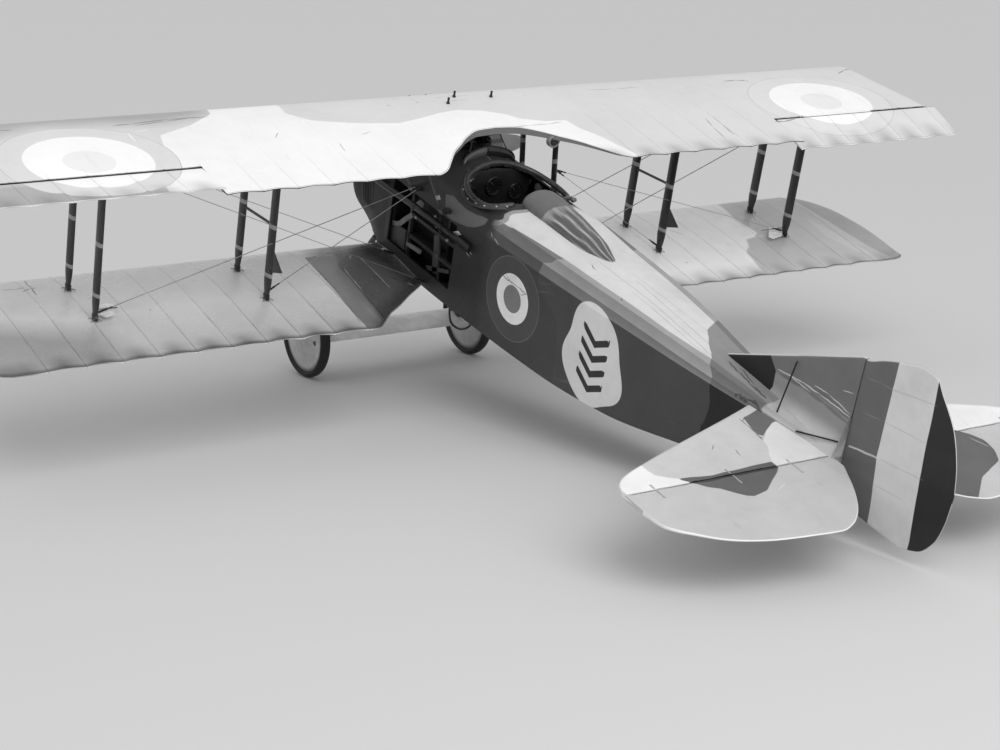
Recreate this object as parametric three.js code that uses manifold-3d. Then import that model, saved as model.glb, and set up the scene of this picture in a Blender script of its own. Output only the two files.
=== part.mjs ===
import * as THREE from 'three';
import Module from 'manifold-3d';

// Quarter-scale flying model of a single-seat biplane, in millimetres.
// It is drawn level: nose to -Y, port wing to +X, up +Z, with the upper wing's
// leading edge at Y 0 and its chord plane at Z 0. The whole of it is then pitched
// nose-up until its two tyres and its tail skid stand on Z 0.

const seat = 0.3;

// Upper wing
const upperChord = 347.2;
const upperHalfSpan = 1040;
const ribPitch = 66;
const scallop = 5;
const frontSpar = 79.3;
const rearSpar = 190.7;
const outerStrut = 758.7;
const innerStrut = 434.8;
const aileronInner = 614.5;
const aileronHinge = 257;
const aileronHingeUp = 5.5;
const aileronNose = 5;
const aileronRest = 7;
const aileronDroop = 12;

// Lower wing
const lowerEdge = 7.1;
const lowerChord = 329.7;
const lowerPlane = -289.3;
const lowerHalfSpan = 982;
const lowerFront = 87;
const lowerRear = 201;

// Fuselage
const noseFront = -106;
const noseCentre = -189;
const baySplit = 32;
const rearSplit = 400;
const sternPost = 1208;
const shell = 3;

// Tail
const tailPlane = -120;
const tailHinge = 1207;
const tailThick = 8;
const rudderHinge = 1216;
const finThick = 8;

// Undercarriage
const axleBack = -55;
const axleUp = -505;
const wheelTrack = 374;
const wheelRadius = 82;
const skidBack = 1172;
const skidUp = -254;
const skidRadius = 7;

// Propeller
const propBack = -132;
const propRadius = 311;
const propTilt = 4;

const wasm = await Module();
wasm.setup();

const tones = {
  white: 0xe8e8e6, pale: 0xcfcfcc, fabric: 0xb4b4b0, mid: 0x828280, dark: 0x3f3f40,
  black: 0x1d1d1e, ply: 0x6a6866, alloy: 0xb9babb, rubber: 0x232324, wood: 0x57524d,
};

// Shapes: rings of points are joined into closed skins

const flat = (ring, drop) => ring.map((p) => new THREE.Vector2(...p.filter((_, i) => i !== drop)));

// Skin over rings of equal count; drop names the axis across which the ends are closed.
function loft(rings, drop) {
  const count = rings[0].length;
  const points = rings.flat(2);
  const faces = [];
  for (let r = 0; r < rings.length - 1; r += 1) {
    for (let i = 0; i < count; i += 1) {
      const a = r * count + i;
      const b = r * count + (i + 1) % count;
      faces.push(a, b, b + count, a, b + count, a + count);
    }
  }
  const close = (ring, base, turn) => {
    const outline = flat(ring, drop);
    const area = THREE.ShapeUtils.area(outline);
    THREE.ShapeUtils.triangulateShape(outline, []).forEach((t) => {
      const same = THREE.ShapeUtils.area(t.map((i) => outline[i])) > 0 === area > 0;
      const order = same === turn ? [t[2], t[1], t[0]] : t;
      faces.push(...order.map((i) => i + base));
    });
  };
  close(rings[0], 0, true);
  close(rings[rings.length - 1], (rings.length - 1) * count, false);
  return solid(points, faces);
}

function solid(points, faces) {
  const make = (list) => new wasm.Manifold(new wasm.Mesh({
    numProp: 3,
    vertProperties: new Float32Array(points),
    triVerts: new Uint32Array(list),
  }));
  const body = make(faces);
  if (body.volume() > 0) return body;
  const turned = [];
  for (let i = 0; i < faces.length; i += 3) turned.push(faces[i], faces[i + 2], faces[i + 1]);
  return make(turned);
}

function fromGeometry(geometry) {
  const bare = geometry.index ? geometry.toNonIndexed() : geometry;
  const seen = new Map();
  const points = [];
  const faces = [];
  const at = bare.attributes.position;
  for (let i = 0; i < at.count; i += 1) {
    const key = [at.getX(i), at.getY(i), at.getZ(i)].map((v) => Math.round(v * 1e4)).join();
    if (!seen.has(key)) {
      seen.set(key, points.length / 3);
      points.push(at.getX(i), at.getY(i), at.getZ(i));
    }
    faces.push(seen.get(key));
  }
  const kept = [];
  for (let i = 0; i < faces.length; i += 3) {
    const [a, b, c] = [faces[i], faces[i + 1], faces[i + 2]];
    if (a !== b && b !== c && c !== a) kept.push(a, b, c);
  }
  return solid(points, kept);
}

const box = (x0, x1, y0, y1, z0, z1) => fromGeometry(
  new THREE.BoxGeometry(x1 - x0, y1 - y0, z1 - z0).translate((x0 + x1) / 2, (y0 + y1) / 2, (z0 + z1) / 2),
);

// Outline [x, y] stood up between two heights
const prism = (outline, z0, z1) => loft([
  outline.map(([x, y]) => [x, y, z0]),
  outline.map(([x, y]) => [x, y, z1]),
], 2);

// Outline [y, z] spread between two stations across the aircraft
const plate = (outline, x0, x1) => loft([
  outline.map(([y, z]) => [x0, y, z]),
  outline.map(([y, z]) => [x1, y, z]),
], 0);

// Straight bar from a to b with a section [across, along] in half sizes and this many sides
function bar(a, b, across, along, sides = 8, chordwise = [0, 1, 0]) {
  const from = new THREE.Vector3(...a);
  const to = new THREE.Vector3(...b);
  const axis = to.clone().sub(from).normalize();
  const v = new THREE.Vector3(...chordwise);
  v.addScaledVector(axis, -v.dot(axis)).normalize();
  const u = v.clone().cross(axis);
  const ring = (centre) => Array.from({ length: sides }, (_, i) => {
    const t = (2 * Math.PI * (i + 0.5)) / sides;
    return centre.clone()
      .addScaledVector(u, across * Math.cos(t))
      .addScaledVector(v, along * Math.sin(t))
      .toArray();
  });
  const points = [ring(from), ring(to)];
  const faces = [];
  for (let i = 0; i < sides; i += 1) {
    const j = (i + 1) % sides;
    faces.push(i, j, sides + j, i, sides + j, sides + i);
    if (i > 0 && j > 0) faces.push(0, j, i, sides, sides + i, sides + j);
  }
  return solid(points.flat(2), faces);
}

// Round body about an axis along X ('x') or Y ('y'): profile rows [radius, along]
function turned(profile, axis, centre, sides) {
  const shape = new THREE.LatheGeometry(profile.map(([r, s]) => new THREE.Vector2(r, s)), sides);
  if (axis === 'x') shape.rotateZ(-Math.PI / 2);
  return fromGeometry(shape.translate(...centre));
}

// Tube of half size r along a list of points
function swept(path, r, sides = 6) {
  return path.slice(1).reduce((body, p, i) => {
    const piece = bar(path[i], p, r, r, sides, [0.3, 0.2, 1]);
    return body ? body.add(piece) : piece;
  }, null);
}

const mirror = (body) => body.mirror([1, 0, 0]);
const lerp = (a, b, t) => a + (b - a) * t;

// Value at x from rows [x, value, ...], column c
function along(rows, x, c = 1) {
  if (x <= rows[0][0]) return rows[0][c];
  const i = rows.findIndex((row) => row[0] >= x);
  if (i < 0) return rows[rows.length - 1][c];
  const [a, b] = [rows[i - 1], rows[i]];
  return lerp(a[c], b[c], (x - a[0]) / (b[0] - a[0]));
}

// Wings

// Section rows: part of chord, top and bottom height as parts of chord
const section = [
  [0, 0.000, 0.000], [0.02, 0.018, -0.009], [0.07, 0.034, -0.011], [0.16, 0.045, -0.008],
  [0.3, 0.049, -0.003], [0.5, 0.042, 0.000], [0.75, 0.023, 0.002], [1, 0.0025, -0.0025],
];

function wingRing(x, front, back, plane, thick = 1) {
  const chord = back - front;
  const top = section.slice(1).map(([s, t]) => [x, front + s * chord, plane + t * chord * thick]);
  const low = section.slice(1).map(([s, , b]) => [x, front + s * chord, plane + b * chord * thick]);
  return [[x, front, plane], ...top, ...low.reverse()];
}

// Stations between ribs where the fabric's trailing edge pulls in
function stations(from, to, pitch, pull) {
  const bays = Math.max(1, Math.round((to - from) / pitch));
  const rows = [];
  for (let k = 0; k < bays; k += 1) {
    const rib = from + ((to - from) * k) / bays;
    const wide = (to - from) / bays;
    rows.push([rib, 0], [rib + wide * 0.2, pull * 0.75], [rib + wide * 0.5, pull], [rib + wide * 0.8, pull * 0.75]);
  }
  rows.push([to, 0]);
  return rows;
}

function upperWing() {
  const half = [
    ...stations(217, aileronInner, ribPitch, scallop).map(([x, pull]) => [x, 0, upperChord - pull]),
    [985, 0, upperChord], [1000, 84, upperChord], [1014, 165, upperChord], [1028, 242, upperChord],
  ];
  const rows = [...half.map(([x, f, b]) => [-x, f, b]).reverse(), [0, 0, upperChord], ...half];
  let body = loft(rows.map(([x, f, b]) => wingRing(x, f, b, 0)), 0);
  // Pilot's cut-out rows: x, y
  const cut = [[0, 197], [40, 202], [78, 224], [107, 250], [132, 272], [160, 305], [185, 334], [214, 352]];
  const outline = [...cut.map(([x, y]) => [-x, y]).reverse(), ...cut.slice(1), [214, 400], [-214, 400]];
  body = body.subtract(prism(outline, -60, 60));
  [1, -1].forEach((side) => {
    const [x, y] = [aileronInner - seat, aileronHinge - aileronNose - seat];
    const bay = prism([[x, y], [1100, y], [1100, 400], [x, 400]], -60, 60);
    body = body.subtract(side > 0 ? bay : mirror(bay));
  });
  return body;
}

function aileron() {
  const tip = (x) => along([[985, upperChord], [1030, 346], [1040, 336]], x);
  const rows = stations(aileronInner, 1012, ribPitch, scallop).concat([[1028, 0], [1036, 0]]);
  const rings = rows.map(([x, pull], i) => {
    const back = i < rows.length - 2 ? upperChord - pull : tip(x + (i === rows.length - 1 ? 4 : 0));
    const nose = [90, 135, 180, 225, 270].map((a) => {
      const t = (a * Math.PI) / 180;
      return [x, aileronHinge + aileronNose * Math.cos(t), aileronHingeUp + aileronNose * Math.sin(t)];
    });
    return [...nose, [x, back, -0.9], [x, back, 0.9]];
  });
  return loft(rings, 0);
}

// The lower wing's plan rows: x, front, back
const lowerPlan = [
  [101, lowerEdge, 189], [122, lowerEdge, 206], [152, lowerEdge, 228], [195, lowerEdge, 264],
  [226, lowerEdge, 286], [250, lowerEdge, 310], [272, lowerEdge, 333],
];

function lowerWing() {
  const rows = [
    ...lowerPlan,
    ...stations(300, 896, ribPitch, scallop).map(([x, pull]) => [x, lowerEdge, lowerEdge + lowerChord - pull]),
    [930, 20, 336], [955, 46, 336], [972, 80, 331], [982, 130, 322],
  ];
  return loft(rows.map(([x, f, b]) => wingRing(x, f, b, lowerPlane)), 0);
}

// Fuselage: a ring of sixteen points at each station, from the keel round to the spine.
// Rows: y, spine z, deck [x z], shoulder [x z], stringer [x z], longeron [x z], floor half width, floor z
const frames = [
  [32, -42, 45, -48, 84, -68, 97, -95, 101, -118, 99, -292],
  [150, -43, 45, -49, 87, -70, 99, -96, 103, -118, 102, -295],
  [232, -51, 45, -57, 90, -74, 101, -97, 104, -118, 103, -295],
  [300, -56, 45, -61, 92, -78, 101, -98, 104, -118, 102, -295],
  [400, -61, 45, -65, 91, -79, 99, -98, 102, -118, 99, -295],
  [560, -72, 42, -75, 85, -81, 90, -99, 93, -118, 90, -294],
  [726, -78, 35, -80, 73, -84, 76, -102, 79, -118, 76, -283],
  [918, -87, 25, -90, 48, -95, 54, -110, 57, -120, 53, -247],
  [1060, -97, 18, -99, 32, -104, 37, -113, 38, -120, 35, -215],
  [sternPost, -110, 9, -111, 15, -113, 17, -117, 17, -120, 15, -182],
];

function frameRing(y, grow = 0) {
  const v = (c) => along(frames, y, c);
  const half = [
    [0, v(11) - grow], [v(10) * 0.55, v(11) - grow], [v(10) + grow, v(11) - grow],
    [(v(10) + v(8)) / 2 + grow, (v(11) + v(9)) / 2], [v(8) + grow, v(9)], [v(6) + grow, v(7) + grow * 0.5],
    [v(4) + grow * 0.6, v(5) + grow * 0.8], [v(2), v(3) + grow], [0, v(1) + grow],
  ];
  const port = half.slice(1, -1).map(([x, z]) => [x, y, z]);
  const starboard = port.map(([x, , z]) => [-x, y, z]).reverse();
  return [[0, y, half[0][1]], ...port, [0, y, half[8][1]], ...starboard];
}

function hull(from, to, grow = 0) {
  const between = frames.map((row) => row[0]).filter((y) => y > from + 0.5 && y < to - 0.5);
  return loft([from, ...between, to].map((y) => frameRing(y, grow)), 1);
}

// The nose blends from a round front to the first frame. Rows: y, radius, share of the frame
const noseRows = [
  [noseFront, 90, 0], [noseFront + 3, 97, 0], [noseFront + 12, 103, 0], [-70, 105, 0.12],
  [-35, 105, 0.42], [0, 105, 0.8], [baySplit, 105, 1],
];

function noseRing([y, radius, share], grow = 0) {
  return frameRing(baySplit, grow).map(([x, , z], i) => {
    const t = -Math.PI / 2 + (i * Math.PI) / 8;
    return [
      lerp((radius + grow) * Math.cos(t), x, share), y, lerp(noseCentre + (radius + grow) * Math.sin(t), z, share),
    ];
  });
}

function nose(grow = 0) {
  return loft(noseRows.map((row) => noseRing(row, grow)), 1);
}

// Cockpit mouth rows: half width, y
const mouth = [[0, 224], [34, 228], [62, 246], [78, 280], [82, 316], [74, 348], [50, 378], [20, 388]];

const mouthOutline = (grow = 0) => {
  const port = mouth.slice(1).map(([x, y]) => [x + grow, y + (y < 280 ? -grow : grow)]);
  return [[0, 224 - grow], ...port, ...port.map(([x, y]) => [-x, y]).reverse()];
};

const bayOpening = { from: 46, to: 272, low: -264, high: -138 };

function midShell() {
  let body = hull(baySplit + seat, rearSplit);
  body = body.subtract(hull(baySplit - 1, rearSplit + 1, -shell));
  body = body.subtract(prism(mouthOutline(), -140, 0));
  return body.subtract(box(60, 140, bayOpening.from, bayOpening.to, bayOpening.low, bayOpening.high));
}

// Headrest rows: y, half width, height over the deck, deck z
const headRows = [
  [366, 36, 20, -63], [378, 43, 26, -64], [400, 43, 28, -66], [458, 39, 25, -70], [532, 29, 17, -75],
  [585, 13, 8, -79], [612, 3, 3, -80],
];

function headrest() {
  const rings = headRows.map(([y, w, h, z]) => {
    const arch = [0, 25, 50, 75, 90, 105, 130, 155, 180].map((a) => {
      const t = (a * Math.PI) / 180;
      return [w * Math.cos(t), y, z + h * Math.sin(t)];
    });
    return [...arch, [-w, y, z - 22], [w, y, z - 22]];
  });
  const deck = hull(baySplit + seat, sternPost, seat).subtract(prism(mouthOutline(-4), -140, 0));
  return loft(rings, 1).subtract(deck);
}

// Coaming rows: x, y, z of the padded roll round the mouth, port half
const rollPath = [
  [0, 217, -50], [36, 222, -54], [68, 241, -64], [86, 278, -73], [90, 318, -77], [82, 354, -75], [60, 374, -69],
];

function coaming() {
  const whole = [...rollPath.slice(1).map(([x, y, z]) => [-x, y, z]).reverse(), ...rollPath];
  const deck = hull(baySplit + seat, rearSplit + 60, seat).subtract(prism(mouthOutline(-seat), -140, 0));
  return swept(whole, 7.5, 8).subtract(deck).subtract(grown(headrest(), seat));
}

// Copy moved by a small step each way and joined, so that a neighbour keeps clear of it
function grown(body, d) {
  return [[d, 0, 0], [-d, 0, 0], [0, d, 0], [0, -d, 0], [0, 0, d], [0, 0, -d]]
    .reduce((sum, step) => sum.add(body.translate(step)), body);
}

const hullHalf = nose(seat).add(hull(baySplit, sternPost, seat));
const hullClear = hullHalf.add(mirror(hullHalf));

// Struts

const upper = upperWing();
const lowerPort = lowerWing().subtract(hullClear);

function strut(top, foot) {
  const whole = bar([top[0], top[1], 4], [foot[0], foot[1], lowerPlane + 6], 3.4, 8, 8);
  const carrier = lowerPort.translate([0, 0, seat]);
  return whole.subtract(upper.translate([0, 0, -seat])).subtract(carrier);
}

// A foot bracket carries each cabane strut just outside the fuselage
function cabane(topY, footY) {
  const foot = [121, footY, -119];
  const whole = bar([151, topY, 4], foot, 3.2, 7.5, 8);
  const bracket = box(90, foot[0] + 3, footY - 7, footY + 7, -125, -117);
  return whole.add(bracket).subtract(upper.translate([0, 0, -seat])).subtract(hullClear);
}

// The inner rear strut has a thin three-cornered plate on its aft side
function innerRear() {
  const fin = plate([[rearSpar + 4, -176], [rearSpar + 41, -215], [rearSpar + 8, -226]], innerStrut - 1, innerStrut + 1);
  return strut([innerStrut, rearSpar], [innerStrut, lowerRear]).add(fin);
}

// Rod between the two inner struts at half height
function strutBrace() {
  const rod = bar([innerStrut, frontSpar, -148], [innerStrut, rearSpar, -138], 2, 2, 6, [0, 0, 1]);
  const front = grown(strut([innerStrut, frontSpar], [innerStrut, lowerFront]), seat);
  return rod.subtract(front).subtract(grown(innerRear(), seat));
}

// Tail

// Fin outline rows: y, z
const finOutline = [[905, -100], [918, -88], [1206, 49], [rudderHinge - 4.3, 50], [rudderHinge - 4.3, -108], [1000, -112]];
const rudderOutline = [
  [1218, 49], [1245, 62], [1276, 75], [1326, 90], [1349, 90], [1368, 70], [1406, 28], [1428, -20], [1437, -62],
  [1435, -105], [1424, -146], [1398, -176], [1350, -190], [1280, -188], [1218, -176],
];
const stabOutline = [
  [10, 1016], [42, 1030], [323, 1134], [376, 1158], [396, 1176], [402, tailHinge - 4.3], [10, tailHinge - 4.3],
];
// Elevator outline rows: x, y
const elevatorOutline = [
  [20, tailHinge], [22, 1242], [59, 1310], [92, 1352], [120, 1374], [147, 1384], [200, 1380], [257, 1373],
  [300, 1362], [331, 1349], [366, 1324], [400, 1288], [405, 1250], [402, tailHinge],
];

function fin() {
  return plate(finOutline, -finThick / 2, finThick / 2).subtract(hullClear);
}

// Flat surface with a round leading edge on its hinge, tapering aft
function hinged(outline, hinge, z, nose, reach) {
  const half = (y) => lerp(nose, 0.9, Math.min(1, Math.max(0, (y - hinge) / reach)));
  const wedge = plate([[hinge, z + nose], [hinge + reach, z + 0.9], [hinge + reach, z - 0.9], [hinge, z - nose]], -600, 600);
  const from = Math.min(...outline.map(([x]) => x));
  const to = Math.max(...outline.filter(([, y]) => y === hinge).map(([x]) => x));
  const body = wedge.intersect(prism(outline, z - half(hinge) - 1, z + half(hinge) + 1));
  return body.add(bar([from, hinge, z], [to, hinge, z], nose, nose, 12, [0, 0, 1]));
}

function rudder() {
  const reach = 225;
  const wedge = prism([[-4, rudderHinge], [4, rudderHinge], [0.9, rudderHinge + reach], [-0.9, rudderHinge + reach]], -260, 160);
  const web = wedge.intersect(plate([[rudderHinge, 49], ...rudderOutline, [rudderHinge, -176]], -10, 10));
  return web.add(bar([0, rudderHinge, -176], [0, rudderHinge, 49], 4, 4, 12, [0, 1, 0]));
}

// Undercarriage

function gearLeg() {
  const front = bar([92, -8, lowerPlane + 5], [158, axleBack - 6, axleUp + 2], 4, 9, 8);
  const rear = bar([95, 150, lowerPlane + 5], [158, axleBack + 8, axleUp + 2], 4, 9, 8);
  return front.add(rear).subtract(hullClear).subtract(grown(axle(), seat));
}

function axle() {
  const wing = [
    [-32, 0], [-26, 5], [-12, 8], [4, 7], [22, 4], [38, 0], [22, -4], [4, -7], [-12, -8], [-26, -5],
  ].map(([y, z]) => [axleBack + y, axleUp + z]);
  const half = wheelTrack / 2 - 13.5;
  return plate(wing, -half + 9, half - 9).add(bar([-half, axleBack, axleUp], [half, axleBack, axleUp], 5, 5, 12));
}

function wheel() {
  const r = wheelRadius;
  const disc = turned([[0, -13], [12, -13], [r - 20, -5], [r - 14, -5], [r - 14, 5], [r - 20, 5], [12, 13], [0, 13]],
    'x', [wheelTrack / 2, axleBack, axleUp], 32);
  const cap = bar([wheelTrack / 2 + 12, axleBack, axleUp], [wheelTrack / 2 + 17, axleBack, axleUp], 6, 6, 12);
  return disc.add(cap);
}

function tyre() {
  const r = wheelRadius;
  const ring = [[r - 13.7, -7], [r - 8, -10.5], [r - 3, -8], [r, -3], [r, 3], [r - 3, 8], [r - 8, 10.5], [r - 13.7, 7], [r - 13.7, -7]];
  return turned(ring, 'x', [wheelTrack / 2, axleBack, axleUp], 48);
}

function tailSkid() {
  const leg = bar([0, 1096, -196], [0, skidBack, skidUp], 5, 5, 8, [0, 0, 1]);
  const shoe = bar([-9, skidBack, skidUp], [9, skidBack, skidUp], skidRadius, skidRadius, 16);
  return leg.add(shoe).subtract(hullClear);
}

// Propeller: rows of blade stations: radius, chord, twist in degrees, thickness
const bladeRows = [
  [16, 30, 62, 22], [60, 38, 50, 14], [120, 50, 36, 10], [190, 54, 27, 8], [250, 46, 22, 6], [290, 32, 19, 4.5],
  [propRadius, 14, 18, 3],
];

function blade(side) {
  const rings = bladeRows.map(([r, chord, twist, thick]) => {
    const t = (twist * Math.PI) / 180;
    return [[-0.5, 0], [-0.25, 0.45], [0.15, 0.5], [0.5, 0], [0.15, -0.3], [-0.25, -0.3]].map(([c, h]) => {
      const u = c * chord;
      const w = h * thick;
      return [side * r, propBack + side * (u * Math.sin(t)) - w * Math.cos(t),
        noseCentre + u * Math.cos(t) + side * w * Math.sin(t)];
    });
  });
  return loft(rings, 0);
}

function propeller() {
  const hub = turned([[0, -18], [9, -18], [9, -12], [24, -11], [26, -8], [26, 8], [24, 11], [0, 11]], 'y',
    [0, propBack, noseCentre], 32);
  const whole = hub.add(blade(1)).add(blade(-1));
  return whole.translate([0, -propBack, -noseCentre]).rotate([0, propTilt, 0]).translate([0, propBack, noseCentre]);
}

function radiator() {
  const face = turned([[0, -4], [84, -4], [84, 0], [0, 0]], 'y', [0, noseFront - seat, noseCentre], 32);
  const slats = [-62, -37, -12, 12, 37, 62].map((x) => {
    const tall = Math.sqrt(80 * 80 - x * x);
    return box(x - 1.5, x + 1.5, noseFront - 10, noseFront - 2, noseCentre - tall, noseCentre + tall);
  });
  const shaft = bar([0, noseFront - 2, noseCentre], [0, propBack + 11 + seat, noseCentre], 8, 8, 16, [1, 0, 0]);
  return slats.reduce((body, slat) => body.add(slat), face).add(shaft);
}

// Fittings on and in the fuselage

function exhaust() {
  const path = [[84, -62, -154], [108, -40, -161], [111, -10, -162], [111, 330, -161]];
  return swept(path, 6, 8).subtract(hullClear);
}

function windscreen() {
  const rings = [[182, 30, 13], [196, 36, 24], [207, 36, 22]].map(([y, w, h]) => {
    const arch = [0, 35, 70, 90, 110, 145, 180].map((a) => {
      const t = (a * Math.PI) / 180;
      return [w * Math.cos(t), y, -52 + h * Math.sin(t)];
    });
    return [...arch, [-w, y, -66], [w, y, -66]];
  });
  return loft(rings, 1).subtract(hullClear);
}

function guns() {
  const base = box(-34, 34, 62, 168, -48, -36);
  const parts = [-18, 18].map((x) => box(x - 7, x + 7, 90, 172, -38, -20)
    .add(bar([x, -70, -28], [x, 92, -28], 5, 5, 10, [1, 0, 0])));
  return parts.reduce((body, piece) => body.add(piece), base).subtract(hullClear);
}

// Open framework behind the missing side panel: posts, two rails, a slanted upright and a tray
function bayFrame() {
  const pieces = [
    box(84, 91, 98, 105, -294, -121.5), box(84, 91, 258, 265, -294, -121.5),
    box(84, 91, 98, 265, -192, -185), box(84, 91, 98, 265, -234, -227), box(80, 91, 98, 160, -251, -244),
    bar([87.5, 194, -150], [87.5, 217, -293], 3, 4.5, 4), box(22, 91, 99, 188, -232, -229),
  ];
  const inside = hull(baySplit - 1, rearSplit + 1, -shell - seat);
  return pieces.reduce((body, piece) => body.add(piece)).intersect(inside);
}

function instrumentPanel() {
  const panel = box(-81, 81, 212, 217, -200, -40);
  return panel.intersect(hull(baySplit - 1, rearSplit + 1, -shell - seat));
}

function pilotSeat() {
  const outside = box(-52, 52, 262, 352, -240, -150).add(box(-52, 52, 340, 352, -240, -105));
  const inside = box(-48, 48, 258, 344, -236, -100);
  const stand = box(-40, 40, 270, 340, -294 + seat, -239);
  return outside.subtract(inside).add(stand).intersect(hull(baySplit - 1, rearSplit + 1, -shell - seat));
}

function step() {
  const path = [[92, 272, -290], [94, 284, -326], [94, 314, -326], [92, 352, -290]];
  return swept(path, 2, 6).subtract(hullClear);
}

// Parked attitude: both tyres and the skid on the ground

const reach = Math.hypot(skidBack - axleBack, skidUp - axleUp);
const pitch = Math.atan2(skidUp - axleUp, skidBack - axleBack) + Math.asin((wheelRadius - skidRadius) / reach);

const aircraft = new THREE.Group();
aircraft.name = 'aircraft';
aircraft.rotation.x = -pitch;

function add(name, body, color, rough = 0.7, metal = 0) {
  const made = body.getMesh();
  const geometry = new THREE.BufferGeometry();
  geometry.setAttribute('position', new THREE.BufferAttribute(new Float32Array(made.vertProperties), 3));
  geometry.setIndex(new THREE.BufferAttribute(new Uint32Array(made.triVerts), 1));
  geometry.computeVertexNormals();
  const material = new THREE.MeshStandardMaterial({ color, roughness: rough, metalness: metal });
  material.name = name;
  const mesh = new THREE.Mesh(geometry, material);
  mesh.name = name;
  aircraft.add(mesh);
}

const both = (name, body, color, rough, metal) => {
  add(`${name}_port`, body, color, rough, metal);
  add(`${name}_starboard`, mirror(body), color, rough, metal);
};

const turnAt = (body, hinge, up, angle) => body
  .translate([0, -hinge, -up]).rotate([angle, 0, 0]).translate([0, hinge, up]);

add('nose_cowl', nose(), tones.dark);
add('radiator', radiator(), tones.alloy, 0.45, 0.6);
add('fuselage_mid', midShell(), tones.dark);
add('fuselage_rear', hull(rearSplit + seat, sternPost), tones.mid);
add('coaming', coaming(), tones.dark);
add('headrest', headrest(), tones.pale);
add('windscreen', windscreen(), tones.black);
add('guns', guns(), tones.black, 0.5, 0.5);
both('exhaust', exhaust(), tones.dark, 0.5, 0.6);
add('bay_frame', bayFrame(), tones.ply);
add('instrument_panel', instrumentPanel(), tones.ply);
add('seat', pilotSeat(), tones.mid);
add('step_port', step(), tones.alloy, 0.45, 0.6);
add('wing_upper', upper, tones.white);
both('wing_lower', lowerPort, tones.fabric);
both('strut_outer_front', strut([outerStrut, frontSpar], [outerStrut, lowerFront]), tones.dark);
both('strut_outer_rear', strut([outerStrut, rearSpar], [outerStrut, lowerRear]), tones.dark);
both('strut_inner_front', strut([innerStrut, frontSpar], [innerStrut, lowerFront]), tones.dark);
both('strut_inner_rear', innerRear(), tones.dark);
both('strut_brace', strutBrace(), tones.dark);
both('cabane_front', cabane(68, 136), tones.dark);
both('cabane_rear', cabane(178, 242), tones.dark);
add('fin', fin(), tones.fabric);
const stab = prism(stabOutline, tailPlane - tailThick / 2, tailPlane + tailThick / 2).subtract(hullClear);
both('tailplane', stab, tones.pale);
both('gear_leg', gearLeg(), tones.dark);
add('axle', axle(), tones.white);
add('tail_skid', tailSkid(), tones.wood);
add('propeller', propeller(), tones.wood, 0.4);
both('wheel', wheel(), tones.pale);
both('tyre', tyre(), tones.rubber, 0.9);
const flap = aileron();
add('aileron_port', turnAt(flap, aileronHinge, aileronHingeUp, aileronRest), tones.pale);
add('aileron_starboard', mirror(turnAt(flap, aileronHinge, aileronHingeUp, -aileronDroop)), tones.pale);
both('elevator', hinged(elevatorOutline, tailHinge, tailPlane, 4, 180), tones.pale);
add('rudder', rudder(), tones.fabric);

// The origin lies under the middle of the whole, on the ground
const extent = new THREE.Box3().setFromObject(aircraft, true);
aircraft.position.y = -(extent.min.y + extent.max.y) / 2;
aircraft.position.z = -extent.min.z;

export default aircraft;
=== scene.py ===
import math
import bpy
import mathutils
import numpy as np
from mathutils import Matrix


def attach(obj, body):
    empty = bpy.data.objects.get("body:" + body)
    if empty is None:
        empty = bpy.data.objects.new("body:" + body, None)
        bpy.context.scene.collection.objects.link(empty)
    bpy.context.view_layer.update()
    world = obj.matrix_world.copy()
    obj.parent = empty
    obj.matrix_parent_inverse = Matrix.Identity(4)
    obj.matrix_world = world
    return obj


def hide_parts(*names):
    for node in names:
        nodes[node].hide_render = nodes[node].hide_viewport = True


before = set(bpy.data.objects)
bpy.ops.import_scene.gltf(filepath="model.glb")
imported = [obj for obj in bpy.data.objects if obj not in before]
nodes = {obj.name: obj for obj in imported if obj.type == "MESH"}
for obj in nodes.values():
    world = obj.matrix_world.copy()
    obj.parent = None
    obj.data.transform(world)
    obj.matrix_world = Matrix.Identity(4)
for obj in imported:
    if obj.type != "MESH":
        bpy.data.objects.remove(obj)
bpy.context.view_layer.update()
scene = bpy.context.scene
scene.view_settings.view_transform = "Standard"
print("frame loaded:", len(nodes), "nodes")

# Shapes are drawn level, in millimetres: nose to -Y, port wing to +X, up +Z.
# park() turns them nose-up and sets them on the floor, in metres.
parking = {"noseUp": 14.994336, "shiftBack": -554.2107, "shiftUp": 555.5757}


def turnLevel(p):
    # a turn about X by the nose-up angle
    c, s = math.cos(math.radians(parking["noseUp"])), math.sin(math.radians(parking["noseUp"]))
    return np.stack([p[..., 0], p[..., 1] * c + p[..., 2] * s, p[..., 2] * c - p[..., 1] * s], -1)


def park(points):
    # the turn, then the shift, then millimetres to metres
    return (turnLevel(np.asarray(points, float)) + [0, parking["shiftBack"], parking["shiftUp"]]) * 0.001


# camera, floor and light

view = {
    "eye": (2229.5, 3278.0, 1384.5),
    "right": (-0.83054, 0.53588, 0.15181),
    "up": (-0.12680, -0.44732, 0.88534),
    "ahead": (-0.54234, -0.71606, -0.43947),
    "lens": 80.0856,
}
studio = {"sun": 0.95, "sunSoft": 50, "sunFrom": (0.12, 0.75, 1.0), "sky": 0.64, "fill": 48,
          "fillFrom": (0.6, 3.5, 2.0), "floorTone": 0.62}


def placeCamera():
    # the photograph's camera: its axes and eye are in the level frame and turn with the part
    data = bpy.data.cameras.new("camera")
    data.sensor_fit, data.sensor_width, data.lens = "HORIZONTAL", 36, view["lens"]
    data.clip_end = 200
    camera = bpy.data.objects.new("camera", data)
    scene.collection.objects.link(camera)
    right, up, ahead = (turnLevel(np.array(view[k])) for k in ("right", "up", "ahead"))
    place = np.eye(4)
    place[:3, 0], place[:3, 1], place[:3, 2], place[:3, 3] = right, up, -ahead, park(view["eye"])
    camera.matrix_world = place.T
    scene.camera = camera


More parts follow.
